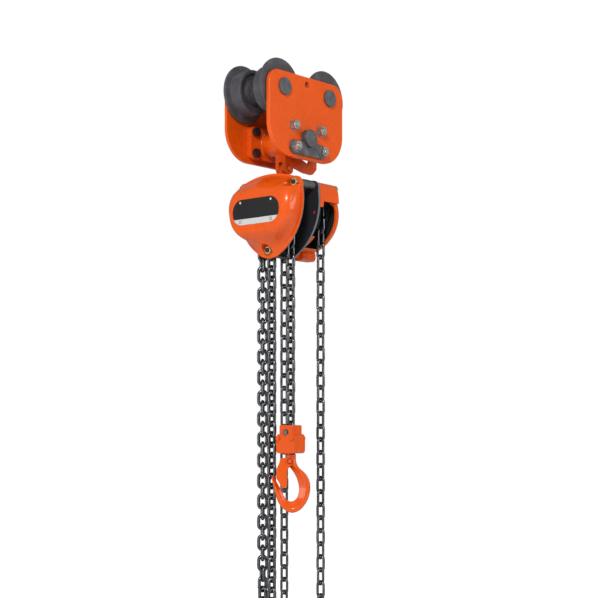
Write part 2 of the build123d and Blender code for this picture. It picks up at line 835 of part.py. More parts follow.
with BuildPart() as side_plate_gear:
    with BuildSketch(across(gear_plate_outer)):
        add(plate_face)
        Circle(bush_radius + running_fit, mode=Mode.SUBTRACT)
        with Locations(*stud_places):
            Circle(stud_radius + running_fit, mode=Mode.SUBTRACT)
        with Locations(*gear_places):
            Circle(journal_radius + running_fit, mode=Mode.SUBTRACT)
        with Locations((0, yoke_pin_height)):
            with GridLocations(yoke_pin_spacing, 1, 2, 1):
                Circle(yoke_pin_radius + running_fit, mode=Mode.SUBTRACT)
        with Locations((dead_strand_y, anchor_pin_z)):
            Circle(anchor_pin_radius + running_fit, mode=Mode.SUBTRACT)
    extrude(amount=frame_plate_thickness)
side_plate_gear.part.label = "side_plate_gear"
export_step(side_plate_gear.part, "parts/side_plate_gear.step")

with BuildPart() as side_plate_wheel:
    with BuildSketch(across(wheel_plate_inner)):
        add(plate_face)
        Circle(bush_radius + running_fit, mode=Mode.SUBTRACT)
        with Locations(*stud_places):
            Circle(stud_radius + running_fit, mode=Mode.SUBTRACT)
        with Locations((0, yoke_pin_height)):
            with GridLocations(yoke_pin_spacing, 1, 2, 1):
                Circle(yoke_pin_radius + running_fit, mode=Mode.SUBTRACT)
        with Locations((dead_strand_y, anchor_pin_z)):
            Circle(anchor_pin_radius + running_fit, mode=Mode.SUBTRACT)
        with Locations(pawl_pivot):
            Circle(pawl_pin_radius + running_fit, mode=Mode.SUBTRACT)
    extrude(amount=frame_plate_thickness)
side_plate_wheel.part.label = "side_plate_wheel"
export_step(side_plate_wheel.part, "parts/side_plate_wheel.step")

# Studs that clamp both covers and both plates, with their spacers and nuts
stud_seats = [cover_ear_end, cover_ear_end, wheel_cover_end]
stud_start = cover_flange_face - stud_nut_height - stud_end
with BuildPart() as stay_studs:
    for place, seat in zip(stud_places, stud_seats):
        with BuildSketch(across(stud_start)):
            with Locations(place):
                Circle(stud_radius)
        extrude(amount=seat + stud_nut_height + stud_end - stud_start)
stay_studs.part.label = "stay_studs"
export_step(stay_studs.part, "parts/stay_studs.step")

with BuildPart() as stay_spacers:
    with BuildSketch(across(gear_plate_inner)):
        with Locations(*stud_places[:2]):
            Circle(stud_spacer_radius)
            Circle(stud_radius + running_fit, mode=Mode.SUBTRACT)
    extrude(amount=frame_gap)
stay_spacers.part.label = "stay_spacers"
export_step(stay_spacers.part, "parts/stay_spacers.step")

nut_seat = cover_flange_face + spot_face_depth - stud_nut_height
with BuildPart() as stay_nuts:
    for place, seat in zip(stud_places, stud_seats):
        for start in (nut_seat, seat):
            with BuildSketch(across(start)):
                with Locations(place):
                    RegularPolygon(stud_nut_radius, 6)
                    Circle(stud_radius + running_fit, mode=Mode.SUBTRACT)
            extrude(amount=stud_nut_height)
stay_nuts.part.label = "stay_nuts"
export_step(stay_nuts.part, "parts/stay_nuts.step")

# Gear cover: a shield flange that swells to a flat front over the two intermediate gears
cover_sections = [
    (share, six_arc_face(top, shoulder, corner, side, flank, heel, foot))
    for share, top, shoulder, corner, side, flank, heel, foot in cover_outlines
]
drive_gear_radius = drive_gear_teeth * drive_module / 2 + drive_module
load_gear_radius = load_gear_teeth * load_module / 2 + load_module
cavity_radius = drive_gear_radius + cavity_margin
boss_start = drive_gear_end - seat_gap
with BuildPart() as gear_cover:
    with BuildSketch(across(cover_flange_face)):
        add(shield_face)
    extrude(amount=cover_flange_thickness)
    for share, section in cover_sections:
        with BuildSketch(across(cover_flange_face - share * (cover_flange_face - cover_face))):
            add(section)
    loft()
    with BuildSketch(across(cover_flange_face + spot_face_depth)):
        with Locations(*stud_places):
            Circle(spot_face_radius)
    extrude(amount=-cover_depth, mode=Mode.SUBTRACT)
    with BuildSketch(across(boss_start)):
        with Locations((0, gear_line_height)):
            SlotCenterToCenter(2 * gear_line_half, 2 * cavity_radius)
    extrude(amount=gear_plate_outer - boss_start, mode=Mode.SUBTRACT)
    with BuildSketch(across(drive_gear_start)):
        Circle(load_gear_radius + cavity_margin)
    extrude(amount=gear_plate_outer - drive_gear_start, mode=Mode.SUBTRACT)
    with BuildSketch(across(cover_face + cover_floor)):
        with Locations((0, gear_line_height)):
            SlotCenterToCenter(2 * gear_line_half, 4 * journal_radius + 4 * cavity_margin)
    extrude(amount=boss_start - cover_face - cover_floor, mode=Mode.SUBTRACT)
    with BuildSketch(across(cover_face + cover_floor)):
        with Locations((0, 0), *gear_places):
            Circle(2 * journal_radius)
    extrude(amount=boss_start - cover_face - cover_floor)
    with BuildSketch(across(journal_end - seat_gap)):
        with Locations((0, 0), *gear_places):
            Circle(journal_radius + running_fit)
    extrude(amount=boss_start - journal_end + seat_gap, mode=Mode.SUBTRACT)
    with BuildSketch(across(cover_flange_face)):
        with Locations(*stud_places):
            Circle(stud_radius + running_fit)
    extrude(amount=cover_flange_thickness, mode=Mode.SUBTRACT)
gear_cover.part.label = "gear_cover"
export_step(gear_cover.part, "parts/gear_cover.step")

with BuildPart() as label_plate:
    with BuildSketch(across(cover_face - label_thickness)):
        with Locations((0, gear_line_height)):
            RectangleRounded(label_width, label_height, label_radius)
    extrude(amount=label_thickness)
label_plate.part.label = "label_plate"
export_step(label_plate.part, "parts/label_plate.step")

# Hand wheel cover: a dish over the wheel's outer side, a hood above it and a lip below
rim_start = hand_wheel_x + hand_chain_width / 2 + hood_clearance
hood_face = six_arc_face(
    wheel_cover_top,
    polar(wheel_cover_top + hood_shoulder_rise, hood_shoulder_angle),
    (stud_y + ear_corner[0], stud_z + ear_corner[1]),
    (stud_y + ear_side[0], stud_z + ear_side[1]),
    polar(wheel_cover_radius, wheel_cover_flank_angle),
    polar(wheel_cover_radius, wheel_cover_heel_angle),
    -wheel_cover_radius,
)


def dish_face(inset):
    return six_arc_face(
        wheel_cover_top - inset,
        polar(wheel_cover_top - inset, dish_shoulder_angle),
        polar(wheel_cover_top + dish_corner_rise - inset, dish_corner_angle),
        polar(wheel_cover_radius - dish_side_drop - inset, dish_side_angle),
        polar(wheel_cover_radius - inset, wheel_cover_flank_angle),
        polar(wheel_cover_radius - inset, wheel_cover_heel_angle),
        inset - wheel_cover_radius,
    )


cover_lip = wheel_cover_lip_height - wheel_cover_radius
cover_skirt = wheel_cover_skirt_height - wheel_cover_radius
foot_top = wheel_cover_wall - wheel_cover_radius
foot_bottom = -wheel_cover_radius - wheel_cover_foot_drop
with BuildSketch() as hood_ring:
    add(hood_face)
    offset(hood_face, amount=-wheel_cover_wall, mode=Mode.SUBTRACT)
with BuildSketch() as dish_ring:
    add(dish_face(0))
    add(dish_face(wheel_cover_wall), mode=Mode.SUBTRACT)
cover_side = Plane(origin=(0, 0, hoist_axis_z), x_dir=(1, 0, 0), z_dir=(0, -1, 0))

# Round upper corner of the chain window, beside the dish
with BuildPart() as window_corner:
    with BuildSketch(across(rim_start - window_radius)):
        add(dish_ring.sketch)
    extrude(amount=window_radius)
    with BuildSketch(cover_side):
        with Locations((rim_start - window_radius / 2, wheel_cover_hood - window_radius / 2)):
            Rectangle(window_radius, window_radius)
        with Locations((rim_start - window_radius, wheel_cover_hood - window_radius)):
            Circle(window_radius, mode=Mode.SUBTRACT)
    extrude(amount=2 * wheel_cover_radius, both=True, mode=Mode.INTERSECT)

# Rounded tab of the hood beside the frame plate
with BuildPart() as hood_tab:
    with BuildSketch(across(wheel_plate_outer)):
        add(hood_ring.sketch)
    extrude(amount=hood_tab_length)
    with BuildSketch(cover_side) as tab_sketch:
        with Locations((wheel_plate_outer + hood_tab_length / 2, wheel_cover_hood - hood_tab_drop / 2)):
            Rectangle(hood_tab_length, hood_tab_drop)
        tab_corners = tab_sketch.vertices().group_by(Axis.Z)[0]
        fillet(tab_corners.sort_by(Axis.X)[-1], radius=hood_tab_radius)
    extrude(amount=2 * wheel_cover_radius, both=True, mode=Mode.INTERSECT)

with BuildPart() as wheel_cover:
    with BuildSketch(across(rim_start)):
        add(dish_face(0))
    extrude(amount=wheel_cover_end - dish_edges[0][0] - rim_start)
    for depth, inset in dish_edges:
        with BuildSketch(across(wheel_cover_end - depth)):
            add(dish_face(inset))
    loft(ruled=True)
    with BuildSketch(across(rim_start)):
        add(dish_face(wheel_cover_wall))
    extrude(amount=wheel_cover_end - wheel_cover_wall - rim_start, mode=Mode.SUBTRACT)
    with BuildSketch(across(wheel_plate_outer)):
        add(hood_ring.sketch)
        with Locations((0, wheel_cover_hood - wheel_cover_radius)):
            Rectangle(3 * wheel_cover_radius, 2 * wheel_cover_radius, mode=Mode.SUBTRACT)
    extrude(amount=cover_ear_end - wheel_plate_outer)
    with BuildSketch(across(cover_ear_end - wheel_cover_wall)):
        add(hood_face)
        add(dish_face(wheel_cover_wall), mode=Mode.SUBTRACT)
        with Locations((0, wheel_cover_hood - wheel_cover_radius)):
            Rectangle(3 * wheel_cover_radius, 2 * wheel_cover_radius, mode=Mode.SUBTRACT)
    extrude(amount=wheel_cover_wall)
    add(window_corner.part)
    add(hood_tab.part)
    with BuildSketch(across(wheel_plate_outer)):
        add(dish_ring.sketch)
        with Locations((0, cover_lip + wheel_cover_radius)):
            Rectangle(3 * wheel_cover_radius, 2 * wheel_cover_radius, mode=Mode.SUBTRACT)
    extrude(amount=rim_start - wheel_plate_outer)
    with BuildSketch(across(wheel_plate_outer)):
        add(dish_ring.sketch)
        with Locations((0, cover_skirt + wheel_cover_radius)):
            Rectangle(3 * wheel_cover_radius, 2 * wheel_cover_radius, mode=Mode.SUBTRACT)
    extrude(amount=wheel_cover_skirt_depth)
    for place, seat in zip(stud_places, stud_seats):
        with BuildSketch(across(wheel_plate_outer)):
            with Locations(place):
                Circle(stud_boss_radius)
        extrude(amount=seat - wheel_plate_outer)
    with BuildSketch(across(wheel_cover_end - wheel_cover_foot_length)):
        with Locations((0, (foot_top + foot_bottom) / 2)):
            RectangleRounded(wheel_cover_foot_width, foot_top - foot_bottom, wheel_cover_foot_corner)
    extrude(amount=wheel_cover_foot_length)
    with BuildSketch(across(wheel_plate_outer)):
        with Locations(*stud_places):
            Circle(stud_radius + running_fit)
    extrude(amount=wheel_cover_end - wheel_plate_outer, mode=Mode.SUBTRACT)
wheel_cover.part.label = "wheel_cover"
export_step(wheel_cover.part, "parts/wheel_cover.step")

# Chain guide on the bottom stud, hollowed under the sheave
with BuildPart() as chain_guide:
    with BuildSketch(across(gear_plate_inner)):
        with Locations((0, guide_bottom / 2)):
            Rectangle(guide_width, -guide_bottom)
        Circle(sheave_drum_radius + guide_sheave_gap, mode=Mode.SUBTRACT)
        with Locations(stud_places[2]):
            Circle(stud_radius + running_fit, mode=Mode.SUBTRACT)
    extrude(amount=frame_gap)
chain_guide.part.label = "chain_guide"
export_step(chain_guide.part, "parts/chain_guide.step")

with BuildPart() as chain_anchor_pin:
    with BuildSketch(across(gear_plate_outer)):
        with Locations((dead_strand_y, anchor_pin_z)):
            Circle(anchor_pin_radius)
    extrude(amount=frame_gap + 2 * frame_plate_thickness)
chain_anchor_pin.part.label = "chain_anchor_pin"
export_step(chain_anchor_pin.part, "parts/chain_anchor_pin.step")

# Bearing bushes of the load sheave, one in each frame plate
with BuildPart() as sheave_bushes:
    for start in (gear_plate_outer, wheel_plate_inner - seat_gap * 10):
        with BuildSketch(across(start)):
            Circle(bush_radius)
            Circle(neck_radius + running_fit, mode=Mode.SUBTRACT)
        extrude(amount=frame_plate_thickness + seat_gap * 10)
sheave_bushes.part.label = "sheave_bushes"
export_step(sheave_bushes.part, "parts/sheave_bushes.step")

# Load sheave: a drum with pockets for the cross links and a groove for the links between them
pocket_floor = sheave_chord - chain_wire / 2 - pocket_play
groove_floor = sheave_chord - load_chain_width / 2 - pocket_play
shoulder_start = gear_plate_inner + seat_gap * 11
shoulder_end = wheel_plate_inner - seat_gap * 11
with BuildPart() as load_sheave:
    with BuildSketch(across(load_gear_end)):
        Circle(neck_radius)
    extrude(amount=wheel_plate_outer - load_gear_end)
    with BuildSketch(across(shoulder_start)):
        Circle((neck_radius + bush_radius) / 2)
    extrude(amount=shoulder_end - shoulder_start)
    with BuildSketch(across(sheave_x - sheave_drum_width / 2)):
        Circle(sheave_drum_radius)
    extrude(amount=sheave_drum_width)
    with BuildSketch(across(sheave_x - chain_wire / 2 - groove_play)):
        Circle(sheave_drum_radius)
        Circle(groove_floor, mode=Mode.SUBTRACT)
    extrude(amount=chain_wire + 2 * groove_play, mode=Mode.SUBTRACT)
    for pocket in range(sheave_pockets):
        angle = radians(360 / sheave_pockets * pocket)
        outward = (0, cos(angle), sin(angle))
        floor_middle = (
            sheave_x,
            pocket_floor * cos(angle),
            hoist_axis_z + pocket_floor * sin(angle),
        )
        with BuildSketch(Plane(origin=floor_middle, x_dir=(0, -sin(angle), cos(angle)), z_dir=outward)):
            SlotOverall(
                chain_pitch + chain_play + 2 * chain_wire + 2 * pocket_play,
                load_chain_width + 2 * pocket_play,
            )
        extrude(amount=sheave_drum_radius, mode=Mode.SUBTRACT)
    with BuildSketch(across(load_gear_end)):
        Circle(drive_shaft_radius + running_fit)
    extrude(amount=wheel_plate_outer - load_gear_end, mode=Mode.SUBTRACT)
load_sheave.part.label = "load_sheave"
export_step(load_sheave.part, "parts/load_sheave.step")

with BuildPart() as load_gear:
    with BuildSketch(across(load_gear_end)):
        add(gear_outline(load_gear_teeth, load_module, gear_line_angle))
        Circle(neck_radius + running_fit, mode=Mode.SUBTRACT)
    extrude(amount=load_gear_width)
load_gear.part.label = "load_gear"
export_step(load_gear.part, "parts/load_gear.step")

# Drive shaft with its pinion cut on it, running through the bore of the sheave
with BuildPart() as drive_shaft:
    with BuildSketch(across(drive_gear_start)):
        Circle(drive_shaft_radius)
    extrude(amount=drive_shaft_end - drive_gear_start)
    with BuildSketch(across(drive_gear_end)):
        add(gear_outline(drive_pinion_teeth, drive_module, gear_line_angle))
    extrude(amount=drive_gear_width)
    with BuildSketch(across(journal_end)):
        Circle(journal_radius)
    extrude(amount=journal_length)
drive_shaft.part.label = "drive_shaft"
export_step(drive_shaft.part, "parts/drive_shaft.step")

# Intermediate gears, each with a pinion and two journals in one piece
with BuildPart() as intermediate_gear_rear:
    with BuildSketch(across(drive_gear_end)):
        with Locations(gear_places[1]):
            add(gear_outline(drive_gear_teeth, drive_module, drive_gear_turn))
    extrude(amount=drive_gear_width)
    with BuildSketch(across(drive_gear_start)):
        with Locations(gear_places[1]):
            add(gear_outline(load_pinion_teeth, load_module, load_pinion_turn))
    extrude(amount=load_gear_width + gear_side_gap)
    with BuildSketch(across(journal_end)):
        with Locations(gear_places[1]):
            Circle(journal_radius)
    extrude(amount=gear_plate_inner - seat_gap - journal_end)
intermediate_gear_rear.part.label = "intermediate_gear_rear"
export_step(intermediate_gear_rear.part, "parts/intermediate_gear_rear.step")

with BuildPart() as intermediate_gear_front:
    mirror(intermediate_gear_rear.part, about=Plane.XZ)
intermediate_gear_front.part.label = "intermediate_gear_front"
export_step(intermediate_gear_front.part, "parts/intermediate_gear_front.step")

# Brake: a hub on the drive shaft, two friction discs and the ratchet disc between them
with BuildPart() as brake_hub:
    with BuildSketch(across(hub_start)):
        Circle(friction_radius)
    extrude(amount=brake_hub_thickness)
    with BuildSketch(across(hub_start)):
        Circle(brake_sleeve_radius)
    extrude(amount=wheel_hub_start - seat_gap - hub_start)
    with BuildSketch(across(hub_start)):
        Circle(drive_shaft_radius + running_fit)
    extrude(amount=wheel_hub_start - hub_start, mode=Mode.SUBTRACT)
brake_hub.part.label = "brake_hub"
export_step(brake_hub.part, "parts/brake_hub.step")

with BuildPart() as friction_discs:
    for start in (friction_start, friction_outer_start):
        with BuildSketch(across(start)):
            Circle(friction_radius)
            Circle(brake_sleeve_radius + running_fit, mode=Mode.SUBTRACT)
        extrude(amount=friction_thickness)
friction_discs.part.label = "friction_discs"
export_step(friction_discs.part, "parts/friction_discs.step")

ratchet_step = 360 / ratchet_teeth
ratchet_points = []
for tooth in range(ratchet_teeth):
    tooth_angle = ratchet_turn + tooth * ratchet_step
    ratchet_points.append(polar(ratchet_root_radius, tooth_angle))
    ratchet_points.append(polar(ratchet_radius, tooth_angle + ratchet_step))
with BuildPart() as ratchet_disc:
    with BuildSketch(across(ratchet_start)):
        with BuildLine():
            Polyline(*ratchet_points, close=True)
        make_face()
        Circle(brake_sleeve_radius + running_fit, mode=Mode.SUBTRACT)
    extrude(amount=ratchet_thickness)
ratchet_disc.part.label = "ratchet_disc"
export_step(ratchet_disc.part, "parts/ratchet_disc.step")

# Pawl standing against a ratchet tooth, its pin in the frame plate and its return spring
tooth_depth = ratchet_radius - ratchet_root_radius
pawl_points = [
    polar(ratchet_root_radius + 0.12 * tooth_depth, ratchet_turn + pawl_tooth_angle),
    polar(ratchet_root_radius + 0.45 * tooth_depth, ratchet_turn + 8),
    polar(ratchet_radius + 1.2, ratchet_turn + 19),
    polar(pawl_pivot_radius - pawl_boss_radius + 0.5, pawl_pivot_angle - 2),
    polar(pawl_pivot_radius + pawl_boss_radius - 0.5, pawl_pivot_angle + 1),
    polar(pawl_pivot_radius - 1, ratchet_turn + 15),
    polar(ratchet_radius + 1.5, ratchet_turn + pawl_tooth_angle),
]
with BuildPart() as pawl:
    with BuildSketch(across(ratchet_plane_x)):
        with BuildLine():
            Polyline(*pawl_points, close=True)
        make_face()
        with Locations(pawl_pivot):
            Circle(pawl_boss_radius)
            Circle(pawl_pin_radius + running_fit, mode=Mode.SUBTRACT)
    extrude(amount=pawl_thickness)
pawl.part.label = "pawl"
export_step(pawl.part, "parts/pawl.step")

pawl_end = ratchet_plane_x + pawl_thickness + seat_gap
with BuildPart() as pawl_pin:
    with BuildSketch(across(wheel_plate_inner)):
        with Locations(pawl_pivot):
            Circle(pawl_pin_radius)
    extrude(amount=pawl_end + pawl_spring_length + seat_gap - wheel_plate_inner)
    with BuildSketch(across(wheel_plate_outer)):
        with Locations(pawl_pivot):
            Circle(pawl_boss_radius)
    extrude(amount=ratchet_plane_x - seat_gap - wheel_plate_outer)
    with BuildSketch(across(pawl_end + pawl_spring_length + seat_gap)):
        with Locations(pawl_pivot):
            Circle(pawl_boss_radius)
    extrude(amount=circlip_thickness)
pawl_pin.part.label = "pawl_pin"
export_step(pawl_pin.part, "parts/pawl_pin.step")

with BuildPart() as pawl_spring:
    with BuildSketch(across(pawl_end)):
        with Locations(pawl_pivot):
            Circle(pawl_spring_radius)
            Circle(pawl_pin_radius + running_fit, mode=Mode.SUBTRACT)
    extrude(amount=pawl_spring_length)
pawl_spring.part.label = "pawl_spring"
export_step(pawl_spring.part, "parts/pawl_spring.step")

# Hand wheel: pockets for the cross links, a groove between them and a raised rim each side
hand_floor = hand_chord - hand_wire / 2 - pocket_play
hand_groove_floor = hand_chord - hand_chain_width / 2 - pocket_play
hand_half_width = hand_wheel_width / 2
hand_inner_radius = hand_groove_floor - hand_rim_depth
with BuildPart() as hand_wheel:
    with BuildSketch(across(hand_wheel_x - hand_half_width)):
        Circle(hand_wheel_radius)
        Circle(hand_inner_radius, mode=Mode.SUBTRACT)
    extrude(amount=hand_wheel_width)
    for start in (hand_wheel_x - hand_half_width, hand_wheel_x + hand_half_width - hand_rim_width):
        with BuildSketch(across(start)):
            Circle(hand_rim_radius)
            Circle(hand_inner_radius, mode=Mode.SUBTRACT)
        extrude(amount=hand_rim_width)
    with BuildSketch(across(hand_wheel_x - hand_web_thickness / 2)):
        Circle(hand_inner_radius)
    extrude(amount=hand_web_thickness)
    with BuildSketch(across(wheel_hub_start)):
        Circle(hand_hub_radius)
    extrude(amount=wheel_hub_end - wheel_hub_start)
    with BuildSketch(across(hand_wheel_x - hand_wire / 2 - groove_play)):
        Circle(hand_rim_radius)
        Circle(hand_groove_floor, mode=Mode.SUBTRACT)
    extrude(amount=hand_wire + 2 * groove_play, mode=Mode.SUBTRACT)
    for pocket in range(hand_pockets):
        angle = radians(360 / hand_pockets * pocket)
        floor_middle = (
            hand_wheel_x,
            hand_floor * cos(angle),
            hoist_axis_z + hand_floor * sin(angle),
        )
        outward = (0, cos(angle), sin(angle))
        with BuildSketch(Plane(origin=floor_middle, x_dir=(0, -sin(angle), cos(angle)), z_dir=outward)):
            SlotOverall(
                hand_pitch + hand_play + 2 * hand_wire + 2 * pocket_play,
                hand_chain_width + 2 * pocket_play,
            )
        extrude(amount=hand_rim_radius, mode=Mode.SUBTRACT)
    with BuildSketch(across(wheel_hub_start)):
        Circle(drive_shaft_radius + running_fit)
    extrude(amount=wheel_hub_end - wheel_hub_start, mode=Mode.SUBTRACT)
hand_wheel.part.label = "hand_wheel"
export_step(hand_wheel.part, "parts/hand_wheel.step")

with BuildPart() as wheel_nut:
    with BuildSketch(across(wheel_hub_end)):
        RegularPolygon(wheel_nut_radius, 6)
        Circle(drive_shaft_radius + running_fit, mode=Mode.SUBTRACT)
    extrude(amount=wheel_nut_height)
wheel_nut.part.label = "wheel_nut"
export_step(wheel_nut.part, "parts/wheel_nut.step")

# Load chain over the sheave, from the slack side to the loaded side
wrap_step = 360 / sheave_sides
wrap_links = sheave_sides // 2 + 1
wrap_start = (sheave_chord, hoist_axis_z - chain_pitch / 2)
wrap_headings = [180 + wrap_step * step for step in range(wrap_links)]
wrap_places = chain_run(
    sheave_x, wrap_start, wrap_headings, chain_pitch, True, straight_turns(wrap_links)
)
load_chain_wrap = Compound(label="load_chain_wrap", children=[load_link.moved(p) for p in wrap_places])
export_step(load_chain_wrap, "parts/load_chain_wrap.step")

# Loaded fall down to the hook block
fall_start = (-sheave_chord, hoist_axis_z - chain_pitch / 2)
fall_places = chain_run(
    sheave_x, fall_start, [0.0] * fall_links, chain_pitch, False, straight_turns(fall_links)
)
load_chain_fall = Compound(label="load_chain_fall", children=[load_link.moved(p) for p in fall_places])
export_step(load_chain_fall, "parts/load_chain_fall.step")

# Slack strand, the loop that hangs at its end and the dead strand up to the anchor pin
loop_width = chain_pitch * (1 + 2 * sin(radians(wrap_step)))
loop_lean = degrees(
    asin((loop_width - (dead_strand_y - sheave_chord)) / (2 * loop_spread_links * chain_pitch))
)
loop_headings = [-loop_lean] * loop_spread_links
loop_headings += [wrap_step * step for step in range(sheave_sides // 2 + 1)]
loop_headings += [180 + loop_lean] * loop_spread_links
loop_links = len(loop_headings)
dead_turns = [
    dead_strand_turn * min(1, link / dead_turn_links, (dead_links - 1 - link) / dead_turn_links)
    for link in range(dead_links)
]
slack_headings = [0.0] * slack_links + loop_headings + [180.0] * dead_links
slack_turns = straight_turns(slack_links + loop_links) + dead_turns
slack_start = (sheave_chord, hoist_axis_z - chain_pitch / 2)
slack_places = chain_run(sheave_x, slack_start, slack_headings, chain_pitch, False, slack_turns)
loop_first = slack_links
loop_last = slack_links + loop_links
strand_places = slack_places[:loop_first] + slack_places[loop_last:]
load_chain_slack = Compound(
    label="load_chain_slack", children=[load_link.moved(p) for p in strand_places]
)
export_step(load_chain_slack, "parts/load_chain_slack.step")
load_chain_loop = Compound(
    label="load_chain_loop", children=[load_link.moved(p) for p in slack_places[loop_first:loop_last]]
)
export_step(load_chain_loop, "parts/load_chain_loop.step")

# Endless hand chain: over the wheel, down both sides and round below
hand_step = 360 / hand_sides
hand_arch = [180 + hand_step * step for step in range(hand_sides // 2 + 1)]
hand_bowl = [hand_step * step for step in range(hand_sides // 2 + 1)]
hand_headings = hand_arch + [0.0] * hand_strand_links + hand_bowl + [180.0] * hand_strand_links
hand_start = (hand_chord, hoist_axis_z - hand_pitch / 2)
hand_places = chain_run(
    hand_wheel_x, hand_start, hand_headings, hand_pitch, True, straight_turns(len(hand_headings))
)
hand_chain = Compound(label="hand_chain", children=[hand_link.moved(p) for p in hand_places])
export_step(hand_chain, "parts/hand_chain.step")

# Hook block: two halves closed on the chain pin and the hook's nut
fall_end_z = hoist_axis_z - fall_links * chain_pitch
chain_pin_z = fall_end_z - (chain_pitch + chain_play) / 2 + chain_pin_radius + running_fit
block_origin = (sheave_x, -sheave_chord, chain_pin_z)
block_plane = Plane(origin=block_origin, x_dir=(0, -1, 0), z_dir=(-1, 0, 0))
link_slot = load_chain_width + 2 * link_room
wire_slot = chain_wire + 2 * link_room
last_link_bottom = fall_end_z - (chain_pitch + chain_play) / 2 - chain_wire - link_room - chain_pin_z
cross_link_bottom = last_link_bottom + chain_pitch
nut_room_bottom = block_bottom + block_floor
nut_room_top = nut_room_bottom + hook_nut_height + 3 * seat_gap
with BuildPart() as block_body:
    with BuildSketch(block_plane) as neck_sketch:
        with Locations((0, (block_top + block_bottom) / 2)):
            Rectangle(block_neck_width, block_top - block_bottom)
        fillet(neck_sketch.vertices(), radius=2.5)
    extrude(amount=block_neck_depth / 2, both=True)
    with BuildSketch(block_plane) as body_sketch:
        with Locations((0, (block_shoulder + block_bottom) / 2)):
            Rectangle(block_width, block_shoulder - block_bottom)
        fillet(body_sketch.vertices(), radius=block_corner_radius)
    extrude(amount=block_depth / 2, both=True)
    with BuildSketch(block_plane):
        with Locations((0, (block_top + last_link_bottom) / 2)):
            Rectangle(link_slot, block_top - last_link_bottom)
    extrude(amount=wire_slot / 2, both=True, mode=Mode.SUBTRACT)
    with BuildSketch(block_plane):
        with Locations((0, (block_top + cross_link_bottom) / 2)):
            Rectangle(wire_slot, block_top - cross_link_bottom)
    extrude(amount=link_slot / 2, both=True, mode=Mode.SUBTRACT)
    with BuildSketch(block_plane):
        Circle(chain_pin_radius + running_fit)
    extrude(amount=block_depth, both=True, mode=Mode.SUBTRACT)
    with BuildSketch(block_plane.offset(block_depth / 2 - chain_pin_head_height)):
        Circle(chain_pin_head_radius + running_fit)
    extrude(amount=block_depth, mode=Mode.SUBTRACT)
    with BuildSketch(block_plane):
        with Locations((-block_bolt_x, block_bolt_z), (block_bolt_x, block_bolt_z)):
            Circle(block_bolt_radius + running_fit)
    extrude(amount=block_depth, both=True, mode=Mode.SUBTRACT)
    with BuildSketch(Plane(origin=(sheave_x, -sheave_chord, chain_pin_z + nut_room_bottom))):
        Circle(hook_nut_radius + seat_gap)
    extrude(amount=nut_room_top - nut_room_bottom, mode=Mode.SUBTRACT)
    with BuildSketch(Plane(origin=(sheave_x, -sheave_chord, chain_pin_z + block_bottom))):
        Circle(hook_shank_radius + running_fit)
    extrude(amount=block_floor, mode=Mode.SUBTRACT)

with BuildPart() as hook_block_front:
    add(block_body.part)
    split(bisect_by=block_plane, keep=Keep.TOP)
hook_block_front.part.label = "hook_block_front"
export_step(hook_block_front.part, "parts/hook_block_front.step")

with BuildPart() as hook_block_rear:
    add(block_body.part)
    split(bisect_by=block_plane, keep=Keep.BOTTOM)
hook_block_rear.part.label = "hook_block_rear"
export_step(hook_block_rear.part, "parts/hook_block_rear.step")

with BuildPart() as chain_pin:
    with BuildSketch(block_plane):
        Circle(chain_pin_radius)
    extrude(amount=block_neck_depth / 2, both=True)
    with BuildSketch(block_plane.offset(block_depth / 2 - chain_pin_head_height)):
        Circle(chain_pin_head_radius)
    extrude(amount=chain_pin_head_height)
chain_pin.part.label = "chain_pin"
export_step(chain_pin.part, "parts/chain_pin.step")

with BuildPart() as block_bolts:
    with BuildSketch(block_plane):
        with Locations((-block_bolt_x, block_bolt_z), (block_bolt_x, block_bolt_z)):
            Circle(block_bolt_radius)
    extrude(amount=block_depth / 2, both=True)
    for side in (block_depth / 2, -block_depth / 2 - block_bolt_head_height):
        with BuildSketch(block_plane.offset(side)):
            with Locations((-block_bolt_x, block_bolt_z), (block_bolt_x, block_bolt_z)):
                RegularPolygon(block_bolt_head_radius, 6)
        extrude(amount=block_bolt_head_height)
block_bolts.part.label = "block_bolts"
export_step(block_bolts.part, "parts/block_bolts.step")

